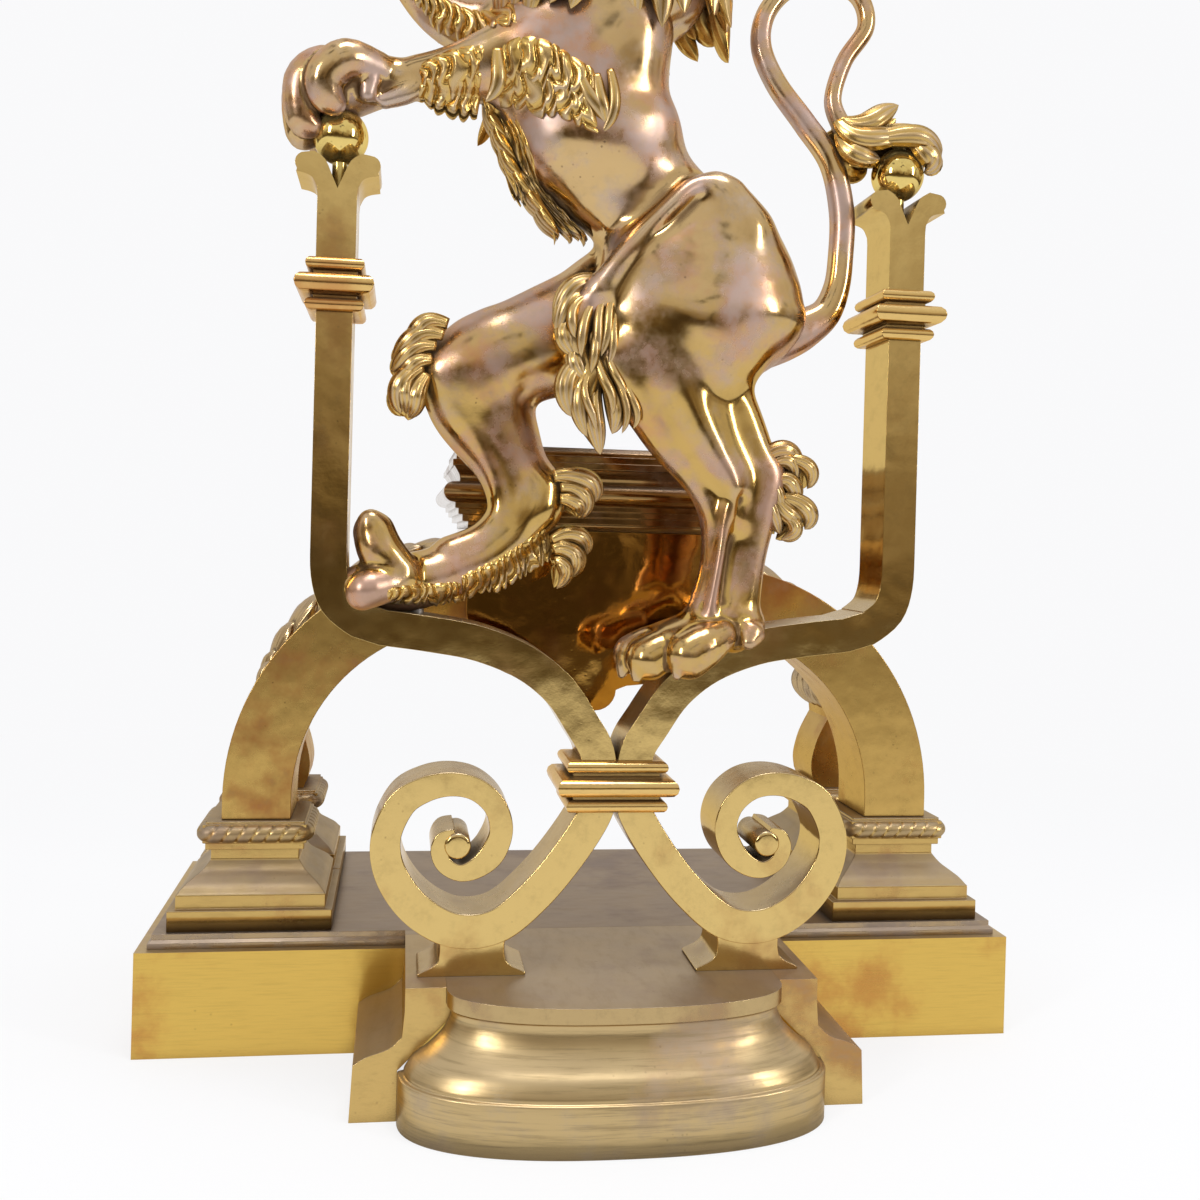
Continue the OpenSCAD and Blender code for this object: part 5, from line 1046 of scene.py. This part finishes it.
paths, outs = np.concatenate(paths), np.concatenate(outs)
face = (paths[:, 0, 0] < -44) & (paths[:, 0, 2] > 622)
paths, outs = [paths[~face]], [outs[~face]]
for level, middle_x, round_x, round_y, many in ((629, -12, 44, 35, 10), (612, -17, 46, 37, 11)):
    turn = np.pi + np.linspace(-1.2, 1.2, many)
    out = np.stack([np.cos(turn), np.sin(turn), 0 * turn], axis=1)
    aside = np.stack([-np.sin(turn), np.cos(turn), 0 * turn], axis=1) * chance.uniform(-5, 5, (many, 1))
    root = np.stack([middle_x + 0.9 * round_x * out[:, 0], mid + 0.9 * round_y * out[:, 1], 0 * turn + level], axis=1)
    fall = np.array([0, 0, -1.0]) * chance.uniform(0.85, 1.2, (many, 1))
    paths.append(np.stack([root, root + 9 * out + 8 * fall, root + 15 * out + aside + 26 * fall,
                           root + 13 * out + 42 * fall], axis=1))
    outs.append(out)
paths, outs = np.concatenate(paths), np.concatenate(outs)
fitted(locks("mane", paths, outs, 7.0, 6.0, fur_finish, strands=5, wave=3.5, turns=1.1, seed=21,
             rings=22, sides=26), "lion_bronze")

# The tail: a smooth round rope of bronze with a flat along its side, up in a hook and down to the ball.
tail_rows = np.array([
    [76, 412, 17, 15], [90, 415, 14, 13], [102, 420, 11.5, 11.5], [114, 429, 8.8, 9.5], [120, 443, 7.4, 8.2],
    [122, 460, 7, 7.7], [122, 486, 7, 7.7], [115, 513, 6.7, 7], [99, 534, 6.4, 7], [82, 555, 6, 6.4],
    [73, 575, 5.7, 6.3], [76, 594, 5.4, 6], [90, 609, 5.1, 5.6], [110, 614, 4.9, 5.5], [128, 607, 4.9, 5.3],
    [133, 590, 4.9, 5.3], [121, 570, 4.7, 5.3], [115, 548, 4.8, 5.4], [121, 533, 5.5, 6]])


def swept(name, rows, finish, sides=32):
    """A tube along rows of x, z, half width and half depth: each ring is an ellipse square to the path, a little
    flattened at its front and back, and both ends close on a rounded cap."""
    run = flowing(rows, 8)
    heading = unit(np.gradient(run[:, :2], axis=0))
    cap = np.sin(np.linspace(0, np.pi / 2, 6))[1:-1]
    size = np.concatenate([[0.02], cap, np.ones(len(run) - 2), cap[::-1], [0.02]])
    place = np.concatenate([np.linspace(-1, 0, 6)[:-1] * rows[0][2] * 0.8, np.zeros(len(run) - 2),
                            np.linspace(0, 1, 6)[1:] * rows[-1][2] * 0.8])
    pick = np.concatenate([np.zeros(5, int), np.arange(1, len(run) - 1), np.full(5, len(run) - 1)])
    run, heading = run[pick], heading[pick]
    turn = 2 * np.pi * np.arange(sides) / sides
    flat = 1 - 0.06 * np.cos(2 * turn + np.pi) ** 2 * (np.abs(np.sin(turn)) > 0.7)
    over = run[:, 2:3] * size[:, None] * np.cos(turn)
    out = run[:, 3:4] * size[:, None] * np.sin(turn) * flat
    x = run[:, :1] + heading[:, :1] * place[:, None] + heading[:, 1:] * over
    z = run[:, 1:2] + heading[:, 1:] * place[:, None] - heading[:, :1] * over
    return grid_mesh(name, np.stack([x, mid + out, z], axis=-1) * 0.001, finish, around=True, caps=(0, 1))


fitted(swept("tail", tail_rows, lion_finish), "lion_bronze", "lion_tail")
tuft_paths = [
    [[116, -8, 534], [122, -12, 522], [140, -13, 520], [158, -9, 530]],
    [[117, -3, 536], [128, -8, 530], [140, -9, 536], [152, -5, 546]],
    [[118, 4, 536], [130, 8, 530], [144, 9, 535], [154, 5, 542]],
    [[116, 8, 533], [122, 12, 522], [142, 13, 520], [160, 8, 528]],
    [[134, -9, 524], [148, -14, 528], [166, -14, 530], [176, -9, 519]],
    [[134, 9, 524], [148, 14, 528], [166, 14, 528], [175, 9, 518]],
    [[130, 0, 528], [148, 0, 534], [168, 0, 534], [179, 0, 522]],
    [[118, -6, 528], [120, -10, 516], [130, -12, 512], [140, -10, 514]],
    [[118, 6, 528], [120, 10, 516], [130, 12, 512], [140, 10, 514]],
    [[156, -8, 528], [166, -12, 522], [172, -11, 514], [166, -8, 509]],
    [[156, 8, 528], [166, 12, 522], [172, 11, 514], [166, 8, 509]]]
tuft_paths = np.array(tuft_paths, float) + [0, mid, 0]
tuft_outs = np.array([[0, np.sign(p[1][1] - mid - 0.1), 0.35] for p in tuft_paths])
fitted(locks("tail_tuft_hair", tuft_paths, tuft_outs, 6.2, 5.6, fur_finish, strands=5, wave=1.8, seed=31, rings=22,
             sides=30), "lion_bronze", "tail_tuft")


# ---------- Leaves on the rear arms ----------
# A sheath of rounded acanthus lobes wraps each rear arm, and a leaf tip curls in at the top of each bulb.
arm_y = 118


def sheath(name, side, lobes=8):
    """A tube along the rear arm with a rounded oblong section. It swells in lobes like scales, steep at their upper
    ends: swell = f^0.7 (1 - f^9), where f is the way through a lobe and lags between the middles of the faces.
    Grooves run along each lobe, and both ends sink into the arm."""
    line = flowing([[198, 174], [195, 194], [186, 218], [166, 244], [136, 266], [104, 278], [76, 281]], 60)
    way = unit(np.gradient(line, axis=0))
    run = np.linspace(0, 1, len(line))[:, None]
    keep = (run[:, 0] > 0.1) & (run[:, 0] < 0.97)
    line, way, run = line[keep], way[keep], (run[keep] - 0.1) / 0.87
    turn = np.linspace(0, 2 * np.pi, 145)[None, :-1]
    part = (lobes * run + 0.5 - 0.45 * np.abs(np.sin(2 * turn))) % 1.0
    swell = part ** 0.7 * (1 - part ** 9)
    groove = np.abs(np.cos(9 * turn + 0.5 * np.sin(2 * turn) * part)) ** 0.6
    outer = np.clip(np.cos(turn) + 0.75, 0, 1)
    end = np.sin(np.pi / 2 * np.clip(np.minimum(run, 1 - run) * 14, 0, 1))
    lift = outer * end * (4.6 * swell * (0.6 + 0.4 * np.abs(np.cos(2 * turn))) + 0.9 * groove * swell)
    out = np.sign(np.cos(turn)) * np.abs(np.cos(turn)) ** 0.35 * (11 + 2.6 * end) + lift * np.cos(turn)
    over = np.sign(np.sin(turn)) * np.abs(np.sin(turn)) ** 0.35 * (21 + 3.2 * end) + 0.6 * lift * np.sin(turn)
    x = side * (line[:, :1] + way[:, 1:] * out)
    z = line[:, 1:] - way[:, :1] * out
    points = np.stack([x, arm_y + over, z], axis=-1) * 0.001
    # The low places between lobes and grooves get a hollow value, which the finish darkens with dirt and painted shade.
    hollow = 1 - np.clip(swell * (0.35 + 0.65 * groove) / 0.45, 0, 1)
    return grid_mesh(name, points if side < 0 else points[:, ::-1], leaf_finish, around=True, caps=(0, 1),
                     hollow=hollow)


leaf_finish = metal("leaf_brass", (0.50, 0.36, 0.19), (0.40, 0.22, 0.10), (0.36, 0.30, 0.27), gloss=0.22,
                    stained=0.45, greyed=0.6, tops=0.6, dirt_and_shade=0.9, hollows="hollow")
curl_paths = np.array([[[190, 0, 182], [176, 0, 190], [172, 0, 204], [180, 0, 212]],
                       [[196, 0, 184], [186, 0, 196], [178, 0, 212], [168, 0, 216]],
                       [[202, 0, 184], [208, 0, 194], [206, 0, 208], [198, 0, 216]]], float)
curl_paths = np.concatenate([curl_paths + [0, arm_y + y, 0] for y in (-20, -7, 7, 20)])
for side, word in ((-1, "left"), (1, "right")):
    fitted(sheath("leaf_sheath_" + word, side), "dull_brass", "acanthus_" + word)
    tip_outs = np.tile([-0.8 * side, 0, 0.2], (len(curl_paths), 1))
    fitted(locks("leaf_tip_" + word, curl_paths * [side, 1, 1], tip_outs, 6.5, 5.0, leaf_finish, strands=4, seed=41,
                 rings=18, sides=28), "dull_brass")


# ---------- Rods, screws and nuts ----------
# Plain steel fasteners, hidden under the base and inside the castings.
steel_finish = metal("steel", (0.42, 0.42, 0.43), (0.30, 0.22, 0.17), (0.36, 0.36, 0.36), gloss=0.3,
                     stained=0.4, greyed=0.3, dirt_and_shade=0.4)
for node in ("tie_rods", "tie_rod_nuts", "tie_rod_washers", "platform_screws", "bracket_screws", "frame_foot_screws",
             "keystone_bolts", "keystone_nuts", "cornice_screws", "crown_dowels", "collar_pins", "upright_dowels",
             "ball_studs", "lion_foot_dowels"):
    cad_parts[node].data.materials.clear()
    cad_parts[node].data.materials.append(ball_finish if node == "ball_studs" else steel_finish)
